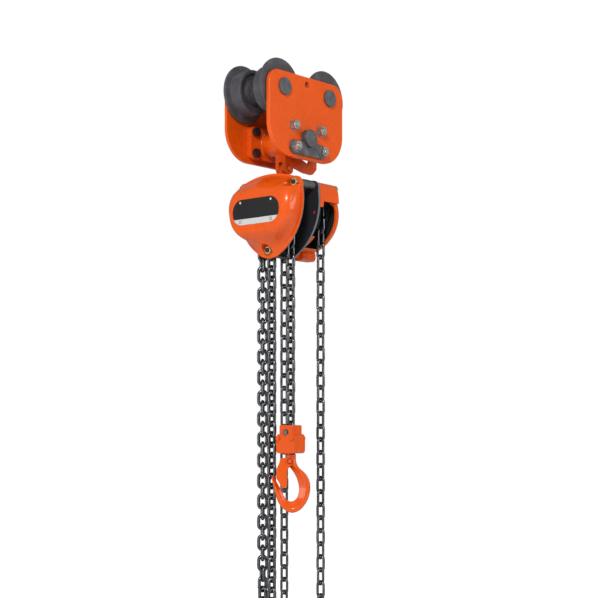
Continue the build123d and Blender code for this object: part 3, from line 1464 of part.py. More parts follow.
# Bottom hook, forged with drafted sides
hook_bottom_z = chain_pin_z + block_bottom
hook_along = (cos(radians(hook_turn)), sin(radians(hook_turn)), 0)
hook_plane = Plane(
    origin=(sheave_x, -sheave_chord, hook_bottom_z),
    x_dir=hook_along,
    z_dir=(hook_along[1], -hook_along[0], 0),
)
hook_axis_plane = Plane(origin=(sheave_x, -sheave_chord, hook_bottom_z))
nut_bottom = block_floor + seat_gap
with BuildPart() as bottom_hook:
    with BuildSketch(hook_plane.offset(-hook_thickness / 2)):
        with BuildLine():
            outer_line = Spline(*hook_outer, hook_tip)
            inner_line = Spline(hook_tip, *hook_inner)
            Line(inner_line @ 1, (-hook_neck_radius, hook_outer[0][1]))
            Line((-hook_neck_radius, hook_outer[0][1]), outer_line @ 0)
        make_face()
    extrude(amount=hook_thickness)
    with BuildSketch(hook_axis_plane.offset(-hook_neck_length)):
        Circle(hook_neck_radius)
    extrude(amount=hook_neck_length - seat_gap)
    with BuildSketch(hook_axis_plane.offset(-hook_neck_length)):
        Circle(2 * hook_neck_radius)
        with Locations(Location((0, 0), hook_turn)):
            Rectangle(5 * hook_neck_radius, hook_thickness, mode=Mode.SUBTRACT)
    extrude(amount=hook_flat_length, mode=Mode.SUBTRACT)
    with BuildSketch(hook_axis_plane.offset(-seat_gap)):
        Circle(hook_shank_radius)
    extrude(amount=nut_bottom + hook_nut_height + seat_gap)
    with BuildSketch(hook_plane):
        with Locations(latch_pivot):
            Circle(latch_pin_radius + running_fit)
    extrude(amount=hook_thickness, both=True, mode=Mode.SUBTRACT)
    with BuildSketch(hook_plane):
        with Locations(latch_pivot):
            Circle(latch_spring_radius + seat_gap)
        with Locations((latch_pivot[0] - hook_neck_radius, latch_pivot[1])):
            Rectangle(2 * hook_neck_radius, 2 * (latch_spring_radius + seat_gap))
    extrude(amount=latch_spring_length / 2 + seat_gap, both=True, mode=Mode.SUBTRACT)
bottom_hook.part.label = "bottom_hook"
export_step(bottom_hook.part, "parts/bottom_hook.step")

with BuildPart() as hook_nut:
    with BuildSketch(hook_axis_plane.offset(nut_bottom)):
        Circle(hook_nut_radius)
        Circle(hook_shank_radius + running_fit, mode=Mode.SUBTRACT)
    extrude(amount=hook_nut_height)
hook_nut.part.label = "hook_nut"
export_step(hook_nut.part, "parts/hook_nut.step")

# Latch: a pressed channel that straddles the hook's neck and closes on its tip
latch_inside = hook_thickness / 2 + seat_gap
latch_outside = latch_inside + latch_thickness
with BuildPart() as hook_latch:
    with BuildSketch(hook_plane):
        with BuildLine():
            Polyline(*latch_side, close=True)
        make_face()
    extrude(amount=latch_outside, both=True)
    with BuildSketch(hook_plane):
        with BuildLine():
            Polyline(*[(s + latch_thickness, z) for s, z in latch_side], close=True)
        make_face()
        with Locations((0, latch_pivot[1])):
            Rectangle(2 * (hook_neck_radius + seat_gap), 2 * (latch_side[0][1] - latch_pivot[1] + seat_gap))
    extrude(amount=latch_inside, both=True, mode=Mode.SUBTRACT)
    with BuildSketch(hook_plane):
        with Locations(latch_pivot):
            Circle(latch_pin_radius + running_fit)
    extrude(amount=latch_outside, both=True, mode=Mode.SUBTRACT)
hook_latch.part.label = "hook_latch"
export_step(hook_latch.part, "parts/hook_latch.step")

with BuildPart() as latch_pin:
    with BuildSketch(hook_plane):
        with Locations(latch_pivot):
            Circle(latch_pin_radius)
    extrude(amount=latch_outside + seat_gap, both=True)
    for side in (latch_outside + seat_gap, -latch_outside - seat_gap - latch_pin_head_height):
        with BuildSketch(hook_plane.offset(side)):
            with Locations(latch_pivot):
                Circle(latch_pin_head_radius)
        extrude(amount=latch_pin_head_height)
latch_pin.part.label = "latch_pin"
export_step(latch_pin.part, "parts/latch_pin.step")

with BuildPart() as latch_spring:
    with BuildSketch(hook_plane):
        with Locations(latch_pivot):
            Circle(latch_spring_radius)
            Circle(latch_pin_radius + running_fit, mode=Mode.SUBTRACT)
    extrude(amount=latch_spring_length / 2, both=True)
latch_spring.part.label = "latch_spring"
export_step(latch_spring.part, "parts/latch_spring.step")
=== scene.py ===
from math import cos, pi, radians, sin, tan

import bmesh
import bpy
from mathutils import Matrix, Vector


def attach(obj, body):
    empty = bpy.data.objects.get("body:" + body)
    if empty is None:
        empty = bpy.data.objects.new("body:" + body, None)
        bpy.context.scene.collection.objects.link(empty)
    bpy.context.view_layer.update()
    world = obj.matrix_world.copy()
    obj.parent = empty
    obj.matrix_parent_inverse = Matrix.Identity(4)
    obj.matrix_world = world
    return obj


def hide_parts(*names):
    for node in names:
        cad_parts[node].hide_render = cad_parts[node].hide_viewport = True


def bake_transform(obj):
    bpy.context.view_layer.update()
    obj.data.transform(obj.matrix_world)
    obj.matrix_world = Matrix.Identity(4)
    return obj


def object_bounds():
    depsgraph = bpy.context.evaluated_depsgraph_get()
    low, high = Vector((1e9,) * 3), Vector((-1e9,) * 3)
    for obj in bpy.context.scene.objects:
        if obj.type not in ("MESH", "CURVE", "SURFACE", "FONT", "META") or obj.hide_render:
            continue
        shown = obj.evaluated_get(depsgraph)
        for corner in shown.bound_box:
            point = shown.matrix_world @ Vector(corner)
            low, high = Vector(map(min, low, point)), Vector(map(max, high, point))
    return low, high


bl_info = {
    "name": "Trolley chain hoist",
    "version": (1, 0, 0),
    "blender": (4, 5, 0),
    "location": "View3D > Sidebar > Hoist",
    "description": "Dresses a trolley chain hoist in paint, iron and chain",
    "category": "Object",
}

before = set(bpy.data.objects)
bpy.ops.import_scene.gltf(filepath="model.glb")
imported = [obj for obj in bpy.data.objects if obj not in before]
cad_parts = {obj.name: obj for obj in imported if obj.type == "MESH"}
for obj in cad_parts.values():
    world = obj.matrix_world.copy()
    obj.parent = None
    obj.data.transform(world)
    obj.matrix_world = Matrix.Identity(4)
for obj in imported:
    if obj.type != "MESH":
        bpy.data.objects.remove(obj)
cad_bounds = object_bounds()

MM = 0.001

# Places in the frame that meshes and paint line up with
SHEAVE_X = -9 * MM
HOIST_AXIS_Z = -167.5 * MM
HAND_WHEEL_X = 50 * MM
COVER_INSIDE_X = 64 * MM
HOOK_TURN = -49
HOOK_TOP_Z = -612.6 * MM
CHAIN_PIN_Z = HOOK_TOP_Z + 38.1 * MM
LATCH_PIVOT = (-1.4 * MM, -14 * MM)
LABEL_Z = HOIST_AXIS_Z - 9.3 * MM

# Chains: pitches, the turn from link to link on a wheel, and the links of each stretch
LOAD_PITCH = 19.1 * MM
LOAD_STEP = 45
LOAD_CHORD = LOAD_PITCH / 2 / tan(radians(LOAD_STEP / 2))
LOAD_ARCH_LINKS = 5
FALL_LINKS = 21
SLACK_LINKS = 37
LOOP_LEAN = 11.6525
LOOP_LEAN_LINKS = 3
DEAD_LINKS = 35
DEAD_TURN = 41
DEAD_TURN_LINKS = 3
HAND_PITCH = 24 * MM
HAND_STEP = 30
HAND_CHORD = HAND_PITCH / 2 / tan(radians(HAND_STEP / 2))
HAND_ARCH_LINKS = 7
HAND_STRAND_LINKS = 29
LINK_BEND_POINTS = 5
LINK_WIRE_SIDES = 10
LINK_BEND_SHARE = 0.999

# Paint: grain of the gloss paint, and how far patches of a second colour reach, among them painted highlight
# and painted shade
PAINT_MOTTLE = 28
PAINT_SHEEN = 60
PAINT_PEEL = 420
# Plate faces with less than this share of their normal along x get the painted edge highlight
RIM_FACING = 0.6
# Faces turned inward more than this inside the wheel cover get painted shade
INSIDE_FACING = -0.5
SPOT_Y = -66 * MM
SPOT_Z = LABEL_Z + 0.7 * MM
SPOT_RADIUS = 2.4 * MM
# Height of the painted shade band at the top of the hook, in the gap under the block
GAP_SHADE_HEIGHT = 2.2 * MM
BOLT_HEAD_Y = 46 * MM
# Radius of the lit face of each pin head; outside it lies a painted shade ring
LATCH_PIN_FACE = 3.9 * MM
CHAIN_PIN_FACE = 4.3 * MM
LABEL_BAND_Z = -12.4 * MM
LABEL_RIVET_Y = 37 * MM
LABEL_RIVET_Z = 17.6 * MM
LABEL_RIVET_RADIUS = 2.2 * MM
LABEL_RIVET_RING = 3.1 * MM

# Stage
FLOOR_REACH = 12
FLOOR_GAP = 15 * MM
FLOOR_GLOW = 0.72
WORLD_STRENGTH = 0.3
LAMP_TARGET = (0, 0, -0.15)
LAMPS = (
    ("key", (-2.3, -1.5, 1.1), 0.55, 54),
    ("fill", (0.7, -2.6, 0.2), 1.4, 25),
    ("side", (-2.6, 0.9, -0.3), 1.2, 22),
)
CAMERA_PLACE = (-1.909, -1.695, -0.570)
CAMERA_HEADING = -49
CAMERA_LENS = 83.7
CAMERA_SENSOR = 36
CAMERA_SHIFT = 0.219
CAMERA_REACH = 60


def colour_prop(label, words, value):
    return bpy.props.FloatVectorProperty(
        name=label, description=words, subtype="COLOR", size=3, min=0, max=1, default=value
    )


def length_prop(label, words, value):
    return bpy.props.FloatProperty(name=label, description=words, unit="LENGTH", default=value)


class FinishSettings(bpy.types.PropertyGroup):
    orange: colour_prop("Orange", "Gloss paint of castings and plates", (0.74, 0.088, 0.003))
    wheel_iron: colour_prop("Wheel iron", "Cast trolley wheels", (0.06, 0.056, 0.065))
    dark_steel: colour_prop("Dark steel", "Shafts, axles and keepers", (0.088, 0.09, 0.098))
    plate_black: colour_prop("Plate black", "Side plates of the hoist frame", (0.02, 0.022, 0.026))
    # Plate edge colour: a light grey painted as a highlight along the frame plates' edges
    plate_edge_highlight: colour_prop("Plate edge", "Cut edges of the frame plates", (0.15, 0.155, 0.165))
    chain_black: colour_prop("Chain black", "Blackened chain steel", (0.13, 0.134, 0.142))
    bolt_black: colour_prop("Bolt black", "Heads of the bracket bolts", (0.012, 0.012, 0.014))
    mark_red: colour_prop("Red mark", "Inspection spot on a frame plate", (0.6, 0.015, 0.02))
    bright_zinc: colour_prop("Bright zinc", "Trolley nuts and washers", (0.45, 0.45, 0.43))
    yellow_zinc: colour_prop("Yellow zinc", "Hoist nuts", (0.62, 0.5, 0.22))
    label_black: colour_prop("Label black", "Printed field of the label", (0.012, 0.012, 0.013))
    label_silver: colour_prop("Label silver", "Bare lower band of the label", (0.55, 0.55, 0.54))


class ChainSettings(bpy.types.PropertyGroup):
    load_wire: length_prop("Load wire", "Wire diameter of the load chain", 6.3 * MM)
    load_width: length_prop("Load inner width", "Room between a load link's sides", 8.4 * MM)
    load_play: length_prop("Load play", "Slack at each load chain joint", 0.8 * MM)
    hand_wire: length_prop("Hand wire", "Wire diameter of the hand chain", 5.0 * MM)
    hand_width: length_prop("Hand inner width", "Room between a hand link's sides", 9.5 * MM)
    hand_play: length_prop("Hand play", "Slack at each hand chain joint", 0.6 * MM)


class EdgeSettings(bpy.types.PropertyGroup):
    casting: length_prop("Casting edge", "Edge rounding of castings", 1.6 * MM)
    sheet: length_prop("Plate edge", "Edge rounding of cut plates", 0.7 * MM)
    fastener: length_prop("Fastener edge", "Edge rounding of nuts and bolts", 0.5 * MM)
    hanger: length_prop("Hanger edge", "Edge rounding of the forged hanger", 2.4 * MM)
    block: length_prop("Block edge", "Edge rounding of the hook block", 2.24 * MM)
    latch: length_prop("Latch edge", "Edge rounding of the hook's latch", 0.9 * MM)
    label: length_prop("Label edge", "Edge rounding of the label", 0.25 * MM)
    hook_depth: length_prop("Hook thickness", "Thickness of the bottom hook", 17 * MM)


def settings():
    scene = bpy.context.scene
    return scene.hoist_finish, scene.hoist_chain, scene.hoist_edge


# Materials


def shader_of(name):
    material = bpy.data.materials.get(name) or bpy.data.materials.new(name)
    material.use_nodes = True
    tree = material.node_tree
    tree.nodes.clear()
    output = tree.nodes.new("ShaderNodeOutputMaterial")
    shader = tree.nodes.new("ShaderNodeBsdfPrincipled")
    tree.links.new(shader.outputs["BSDF"], output.inputs["Surface"])
    return material, tree, shader


def noise(tree, scale, detail=4.0, roughness=0.55):
    coordinates = tree.nodes.new("ShaderNodeTexCoord")
    texture = tree.nodes.new("ShaderNodeTexNoise")
    texture.inputs["Scale"].default_value = scale
    texture.inputs["Detail"].default_value = detail
    texture.inputs["Roughness"].default_value = roughness
    tree.links.new(coordinates.outputs["Object"], texture.inputs["Vector"])
    return texture.outputs["Fac"]


def ramp(tree, factor, stops):
    node = tree.nodes.new("ShaderNodeValToRGB")
    elements = node.color_ramp.elements
    while len(elements) < len(stops):
        elements.new(0.5)
    for element, (place, colour) in zip(elements, stops):
        element.position = place
        element.color = (*colour, 1)
    tree.links.new(factor, node.inputs["Fac"])
    return node.outputs["Color"]


def span(tree, factor, low, high):
    node = tree.nodes.new("ShaderNodeMapRange")
    node.inputs["To Min"].default_value = low
    node.inputs["To Max"].default_value = high
    tree.links.new(factor, node.inputs["Value"])
    return node.outputs["Result"]


def bump(tree, shader, height, strength, distance):
    node = tree.nodes.new("ShaderNodeBump")
    node.inputs["Strength"].default_value = strength
    node.inputs["Distance"].default_value = distance
    tree.links.new(height, node.inputs["Height"])
    tree.links.new(node.outputs["Normal"], shader.inputs["Normal"])


def shade(colour, factor):
    return tuple(min(1.0, part * factor) for part in colour)


def math_node(tree, operation, first, second):
    node = tree.nodes.new("ShaderNodeMath")
    node.operation = operation
    for place, value in enumerate((first, second)):
        if isinstance(value, (int, float)):
            node.inputs[place].default_value = value
        elif value is not None:
            tree.links.new(value, node.inputs[place])
    return node.outputs["Value"]


def place_parts(tree, kind="Object"):
    coordinates = tree.nodes.new("ShaderNodeTexCoord")
    split = tree.nodes.new("ShaderNodeSeparateXYZ")
    tree.links.new(coordinates.outputs[kind], split.inputs["Vector"])
    return split.outputs["X"], split.outputs["Y"], split.outputs["Z"]


def sum_of_products(tree, *pairs):
    return math_node(tree, "ADD", *(math_node(tree, "MULTIPLY", *pair) for pair in pairs))


def length_of(tree, first, second):
    return math_node(tree, "SQRT", sum_of_products(tree, (first, first), (second, second)), None)


def mixed(tree, factor, first, second):
    node = tree.nodes.new("ShaderNodeMix")
    node.data_type = "RGBA"
    tree.links.new(factor, node.inputs["Factor"])
    for socket, value in ((node.inputs[6], first), (node.inputs[7], second)):
        if isinstance(value, tuple):
            socket.default_value = (*value, 1)
        else:
            tree.links.new(value, socket)
    return node.outputs[2]


def gloss_paint(name, colour, roughness, coat, *patches):
    material, tree, shader = shader_of(name)
    stops = [(0.3, shade(colour, 0.94)), (0.7, shade(colour, 1.04))]
    base = ramp(tree, noise(tree, PAINT_MOTTLE), stops)
    for patch, patch_colour in patches:
        base = mixed(tree, patch(tree), base, patch_colour)
    tree.links.new(base, shader.inputs["Base Color"])
    sheen = span(tree, noise(tree, PAINT_SHEEN), roughness - 0.06, roughness + 0.1)
    tree.links.new(sheen, shader.inputs["Roughness"])
    shader.inputs["Specular IOR Level"].default_value = 0.22
    shader.inputs["Coat Weight"].default_value = coat
    shader.inputs["Coat Roughness"].default_value = 0.08
    bump(tree, shader, noise(tree, PAINT_PEEL, 2), 0.06, 0.4 * MM)
    return material


# Patches of paint: a painted highlight on the edge of a plate, an inspection spot, painted shade inside a
# cover, painted shade in the gap above the hook's collar, a painted shade ring round a pin head


# Painted highlight: a light grey on a plate's side faces, standing in for light caught by its edges
def plate_rim_highlight(tree):
    facing, _, _ = place_parts(tree, "Normal")
    return math_node(tree, "LESS_THAN", math_node(tree, "ABSOLUTE", facing, None), RIM_FACING)


def inspection_spot(tree):
    _, y, z = place_parts(tree)
    aside = math_node(tree, "SUBTRACT", y, SPOT_Y)
    away = length_of(tree, aside, math_node(tree, "SUBTRACT", z, SPOT_Z))
    return math_node(tree, "LESS_THAN", away, SPOT_RADIUS)


# Painted shade: black on the wheel cover's inward-facing walls and on its back wall inside
def cover_inside_shade(tree):
    x, y, z = place_parts(tree)
    along, aside, upward = place_parts(tree, "Normal")
    height = math_node(tree, "SUBTRACT", z, HOIST_AXIS_Z)
    outward = sum_of_products(tree, (y, aside), (height, upward))
    limit = math_node(tree, "MULTIPLY", length_of(tree, y, height), INSIDE_FACING)
    wall = math_node(tree, "LESS_THAN", outward, limit)
    back = math_node(tree, "LESS_THAN", along, INSIDE_FACING)
    floor = math_node(tree, "MULTIPLY", back, math_node(tree, "GREATER_THAN", x, COVER_INSIDE_X))
    return math_node(tree, "MAXIMUM", wall, floor)


# Painted shade: black on the hook's shank and the top of its neck, where the gap under the block is in
# shadow
def hook_gap_shade(tree):
    _, _, z = place_parts(tree)
    return math_node(tree, "GREATER_THAN", z, HOOK_TOP_Z - GAP_SHADE_HEIGHT)


# Painted shade: black outside a pin head's face, a dark ring round the head
def pin_shade_ring(direction, middle, radius):
    def ring(tree):
        x, y, z = place_parts(tree)
        aside = sum_of_products(tree, (x, direction[0]), (y, direction[1]))
        aside = math_node(tree, "SUBTRACT", aside, middle[0])
        away = length_of(tree, aside, math_node(tree, "SUBTRACT", z, middle[1]))
        return math_node(tree, "GREATER_THAN", away, radius)

    return ring


def worn_metal(name, colour, metallic, roughness, grain, depth):
    material, tree, shader = shader_of(name)
    stops = [(0.25, shade(colour, 0.6)), (0.55, colour), (0.8, shade(colour, 1.7))]
    tree.links.new(ramp(tree, noise(tree, grain), stops), shader.inputs["Base Color"])
    sheen = span(tree, noise(tree, grain * 2), roughness - 0.1, roughness + 0.15)
    tree.links.new(sheen, shader.inputs["Roughness"])
    shader.inputs["Metallic"].default_value = metallic
    bump(tree, shader, noise(tree, grain * 5, 3), 0.15, depth)
    return material


# Zinc on the outer ends of a bolt and black on its inner end
def bolt_finish(name, zinc, black):
    material, tree, shader = shader_of(name)
    _, y, _ = place_parts(tree)
    inner = math_node(tree, "LESS_THAN", math_node(tree, "ABSOLUTE", y, None), BOLT_HEAD_Y)
    tree.links.new(mixed(tree, inner, zinc, black), shader.inputs["Base Color"])
    tree.links.new(math_node(tree, "SUBTRACT", 0.85, inner), shader.inputs["Metallic"])
    tree.links.new(span(tree, noise(tree, 150), 0.25, 0.45), shader.inputs["Roughness"])
    return material


# A black field with a silver band along its foot and a rivet near each corner
def label_print(name, black, silver):
    material, tree, shader = shader_of(name)
    _, y, z = place_parts(tree)
    height = math_node(tree, "SUBTRACT", z, LABEL_Z)
    across = math_node(tree, "SUBTRACT", math_node(tree, "ABSOLUTE", y, None), LABEL_RIVET_Y)
    up = math_node(tree, "SUBTRACT", math_node(tree, "ABSOLUTE", height, None), LABEL_RIVET_Z)
    away = length_of(tree, across, up)
    base = mixed(tree, math_node(tree, "LESS_THAN", height, LABEL_BAND_Z), black, silver)
    base = mixed(tree, math_node(tree, "LESS_THAN", away, LABEL_RIVET_RING), base, black)
    base = mixed(tree, math_node(tree, "LESS_THAN", away, LABEL_RIVET_RADIUS), base, silver)
    tree.links.new(base, shader.inputs["Base Color"])
    tree.links.new(span(tree, noise(tree, 90), 0.25, 0.4), shader.inputs["Roughness"])
    shader.inputs["Specular IOR Level"].default_value = 0.25
    bump(tree, shader, noise(tree, 500, 2), 0.04, 0.2 * MM)
    return material


def orange_paint(name, *patches):
    return gloss_paint(name, tuple(settings()[0].orange), 0.25, 0.4, *patches)


def satin_paint(name, colour, *patches):
    return gloss_paint(name, colour, 0.42, 0.15, *patches)


def finishes():
    paint, _, _ = settings()
    # The plate edge colour is a painted highlight on the plates' edges and also the steel face of the chain
    # pin
    black, steel = tuple(paint.plate_black), tuple(paint.plate_edge_highlight)
    across = (cos(radians(HOOK_TURN)), sin(radians(HOOK_TURN)))
    latch_middle = SHEAVE_X * across[0] - LOAD_CHORD * across[1] + LATCH_PIVOT[0]
    latch_pin_shade = pin_shade_ring(across, (latch_middle, HOOK_TOP_Z + LATCH_PIVOT[1]), LATCH_PIN_FACE)
    chain_pin_shade = pin_shade_ring((0, 1), (-LOAD_CHORD, CHAIN_PIN_Z), CHAIN_PIN_FACE)
    edge_highlight = (plate_rim_highlight, steel)
    red_spot = (inspection_spot, tuple(paint.mark_red))
    makers = {
        "orange": lambda n: orange_paint(n),
        # Painted shade inside the wheel cover
        "lined": lambda n: orange_paint(n, (cover_inside_shade, black)),
        # Painted shade at the top of the hook, in the gap under the block
        "collared": lambda n: orange_paint(n, (hook_gap_shade, black)),
        # Painted shade rings round the latch pin and chain pin heads
        "latch_pin": lambda n: orange_paint(n, (latch_pin_shade, black)),
        "chain_pin": lambda n: satin_paint(n, steel, (chain_pin_shade, black)),
        "plate_black": lambda n: satin_paint(n, black),
        # Painted highlight on the frame plates' edges
        "plate_edge_highlit": lambda n: satin_paint(n, black, edge_highlight),
        "plate_marked_edge_highlit": lambda n: satin_paint(n, black, edge_highlight, red_spot),
        "bolt": lambda n: bolt_finish(n, tuple(paint.bright_zinc), tuple(paint.bolt_black)),
        "wheel_iron": lambda n: worn_metal(n, tuple(paint.wheel_iron), 0.0, 0.6, 55, 0.5 * MM),
        "dark_steel": lambda n: worn_metal(n, tuple(paint.dark_steel), 0.1, 0.45, 80, 0.2 * MM),
        "chain_black": lambda n: worn_metal(n, tuple(paint.chain_black), 1.0, 0.22, 120, 0.15 * MM),
        "bright_zinc": lambda n: worn_metal(n, tuple(paint.bright_zinc), 0.85, 0.3, 150, 0.1 * MM),
        "yellow_zinc": lambda n: worn_metal(n, tuple(paint.yellow_zinc), 0.8, 0.3, 150, 0.1 * MM),
        "label": lambda n: label_print(n, tuple(paint.label_black), tuple(paint.label_silver)),
    }
    ready = {}
    for name, maker in makers.items():
        title = "Hoist " + name.replace("_", " ")
        ready[name] = bpy.data.materials.get(title) or maker(title)
    return ready


# Pieces


def coat(node_names, material):
    for name in node_names:
        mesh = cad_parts[name].data
        mesh.materials.clear()
        mesh.materials.append(material)


def new_piece(name, mesh, material):
    mesh.materials.clear()
    mesh.materials.append(material)
    piece = bpy.data.objects.new(name, mesh)
    bpy.context.scene.collection.objects.link(piece)
    return piece


# A copy of a cut or cast node with its hard edges rounded, which stands for the node
def rounded(node_name, body, material, width, segments=2, angle=32):
    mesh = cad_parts[node_name].data.copy()
    mesh.name = node_name + "_rounded"
    shape = bmesh.new()
    shape.from_mesh(mesh)
    bmesh.ops.remove_doubles(shape, verts=shape.verts, dist=1e-6)
    bmesh.ops.dissolve_limit(shape, angle_limit=radians(1), verts=shape.verts, edges=shape.edges)
    bmesh.ops.recalc_face_normals(shape, faces=shape.faces)
    for face in shape.faces:
        face.smooth = True
    shape.to_mesh(mesh)
    shape.free()
    piece = new_piece(mesh.name, mesh, material)
    edge = piece.modifiers.new("Edges", "BEVEL")
    edge.width = width
    edge.segments = segments
    edge.limit_method = "ANGLE"
    edge.angle_limit = radians(angle)
    faces = piece.modifiers.new("Faces", "WEIGHTED_NORMAL")
    faces.weight = 100
    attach(piece, body)
    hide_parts(node_name)
    return piece


# The links of a chain, as (middle, turn) for each, from a joint through these headings
def link_run(x, start, headings, pitch, cross_first, turns):
    places = []
    joint = Vector((x, *start))
    cross = cross_first
    for heading, turn in zip(headings, turns):
        along = Vector((0, sin(radians(heading)), -cos(radians(heading))))
        spin = radians(turn if cross else turn + 90)
        turned = Matrix.Rotation(radians(heading), 3, "X") @ Matrix.Rotation(spin, 3, "Z")
        places.append((joint + along * pitch / 2, turned.to_euler("XYZ")))
        joint = joint + along * pitch
        cross = not cross
    return places


def link_tree():
    name = "Chain links"
    tree = bpy.data.node_groups.get(name)
    if tree:
        return tree
    tree = bpy.data.node_groups.new(name, "GeometryNodeTree")
    tree.is_modifier = True
    face = tree.interface
    face.new_socket(name="Geometry", in_out="INPUT", socket_type="NodeSocketGeometry")
    for words in ("Wire radius", "Bend radius", "Length", "Width"):
        face.new_socket(name=words, in_out="INPUT", socket_type="NodeSocketFloat")
    face.new_socket(name="Finish", in_out="INPUT", socket_type="NodeSocketMaterial")
    face.new_socket(name="Geometry", in_out="OUTPUT", socket_type="NodeSocketGeometry")
    add = tree.nodes.new
    join = tree.links.new
    group_in, group_out = add("NodeGroupInput"), add("NodeGroupOutput")
    loop = add("GeometryNodeCurvePrimitiveQuadrilateral")
    join(group_in.outputs["Width"], loop.inputs["Width"])
    join(group_in.outputs["Length"], loop.inputs["Height"])
    bend = add("GeometryNodeFilletCurve")
    bend.mode = "POLY"
    bend.inputs["Count"].default_value = LINK_BEND_POINTS
    join(loop.outputs["Curve"], bend.inputs["Curve"])
    join(group_in.outputs["Bend radius"], bend.inputs["Radius"])
    wire = add("GeometryNodeCurvePrimitiveCircle")
    wire.inputs["Resolution"].default_value = LINK_WIRE_SIDES
    join(group_in.outputs["Wire radius"], wire.inputs["Radius"])
    swept = add("GeometryNodeCurveToMesh")
    join(bend.outputs["Curve"], swept.inputs["Curve"])
    join(wire.outputs["Curve"], swept.inputs["Profile Curve"])
    upright = add("GeometryNodeTransform")
    upright.inputs["Rotation"].default_value = (pi / 2, 0, 0)
    join(swept.outputs["Mesh"], upright.inputs["Geometry"])
    turn = add("GeometryNodeInputNamedAttribute")
    turn.data_type = "FLOAT_VECTOR"
    turn.inputs["Name"].default_value = "link_turn"
    rotation = add("FunctionNodeEulerToRotation")
    join(turn.outputs["Attribute"], rotation.inputs["Euler"])
    links = add("GeometryNodeInstanceOnPoints")
    join(group_in.outputs["Geometry"], links.inputs["Points"])
    join(upright.outputs["Geometry"], links.inputs["Instance"])
    join(rotation.outputs["Rotation"], links.inputs["Rotation"])
    real = add("GeometryNodeRealizeInstances")
    join(links.outputs["Instances"], real.inputs["Geometry"])
    smooth = add("GeometryNodeSetShadeSmooth")
    join(real.outputs["Geometry"], smooth.inputs["Geometry"])
    finish = add("GeometryNodeSetMaterial")
    join(smooth.outputs["Geometry"], finish.inputs["Geometry"])
    join(group_in.outputs["Finish"], finish.inputs["Material"])
    join(finish.outputs["Geometry"], group_out.inputs["Geometry"])
    return tree


def chain_piece(name, places, wire, inner_width, pitch, play, material):
    points = bpy.data.meshes.new(name + "_points")
    points.from_pydata([tuple(middle) for middle, _ in places], [], [])
    turns = points.attributes.new("link_turn", "FLOAT_VECTOR", "POINT")
    turns.data.foreach_set("vector", [part for _, turn in places for part in turn])
    holder = bpy.data.objects.new(name + "_points", points)
    bpy.context.scene.collection.objects.link(holder)
    modifier = holder.modifiers.new("Links", "NODES")
    modifier.node_group = link_tree()
    sizes = {
        "Wire radius": wire / 2,
        "Bend radius": (inner_width + wire) / 2 * LINK_BEND_SHARE,
        "Length": pitch + play + wire,
        "Width": inner_width + wire,
        "Finish": material,
    }
    for item in modifier.node_group.interface.items_tree:
        if item.in_out == "INPUT" and item.name in sizes:
            modifier[item.identifier] = sizes[item.name]
    bpy.context.view_layer.update()
    evaluated = holder.evaluated_get(bpy.context.evaluated_depsgraph_get())
    mesh = bpy.data.meshes.new_from_object(evaluated)
    mesh.name = name
    bpy.data.objects.remove(holder)
    return new_piece(name, mesh, material)


def load_chain_piece(name, places):
    _, chain, _ = settings()
    finish = finishes()["chain_black"]
    piece = chain_piece(name, places, chain.load_wire, chain.load_width, LOAD_PITCH, chain.load_play, finish)
    return piece


class HOIST_OT_trolley(bpy.types.Operator):
    """Finishes the side plates, wheels, axles, shaft and their fasteners"""

    bl_idname = "hoist.trolley"
    bl_label = "Trolley"

    def execute(self, context):
        _, _, edge = settings()
        finish = finishes()
        for side in ("front", "rear"):
            rounded(f"trolley_plate_{side}", "trolley", finish["orange"], edge.sheet)
            rounded(f"shaft_bracket_{side}", "trolley", finish["orange"], edge.casting)
            for end in ("left", "right"):
                wheel, body = f"wheel_{side}_{end}", f"wheel_{side[0]}{end[0]}"
                rounded(wheel, body, finish["wheel_iron"], edge.casting)
        rounded("shaft_keepers", "trolley", finish["dark_steel"], edge.sheet)
        rounded("bracket_nuts", "trolley", finish["bright_zinc"], edge.fastener)
        rounded("bracket_bolts", "trolley", finish["bolt"], edge.fastener)
        for node in ("wheel_axles", "suspension_shaft"):
            rounded(node, "trolley", finish["dark_steel"], edge.casting)
        coat(["bracket_washers", "wheel_bearings"], finish["bright_zinc"])
        coat(["axle_washers", "axle_circlips", "hanger_spacers"], finish["dark_steel"])
        return {"FINISHED"}


class HOIST_OT_suspension(bpy.types.Operator):
    """Finishes the hanger, its pin and the yoke"""

    bl_idname = "hoist.suspension"
    bl_label = "Suspension"

    def execute(self, context):
        _, _, edge = settings()
        finish = finishes()
        rounded("top_hanger", "hanger", finish["orange"], edge.hanger, 3)
        rounded("top_yoke", "hoist", finish["orange"], edge.casting)
        coat(["hanger_pin"], finish["orange"])
        coat(["yoke_pins"], finish["plate_black"])
        return {"FINISHED"}


class HOIST_OT_body(bpy.types.Operator):
    """Finishes the covers, frame plates, label and studs"""

    bl_idname = "hoist.body"
    bl_label = "Hoist body"

    def execute(self, context):
        _, _, edge = settings()
        finish = finishes()
        rounded("gear_cover", "hoist", finish["orange"], edge.casting)
        # The wheel cover's inside is painted black as shade
        rounded("wheel_cover", "hoist", finish["lined"], edge.casting)
        # The frame plates carry a painted highlight on their edges
        rounded("side_plate_gear", "hoist", finish["plate_edge_highlit"], edge.sheet)
        rounded("side_plate_wheel", "hoist", finish["plate_marked_edge_highlit"], edge.sheet)
        rounded("label_plate", "hoist", finish["label"], edge.label)
        rounded("stay_nuts", "hoist", finish["yellow_zinc"], edge.fastener)
        coat(["stay_studs", "chain_guide"], finish["plate_black"])
        coat(["stay_spacers", "chain_anchor_pin", "sheave_bushes"], finish["dark_steel"])
        coat(["ratchet_disc", "pawl_pin", "pawl_spring", "pawl"], finish["dark_steel"])
        return {"FINISHED"}


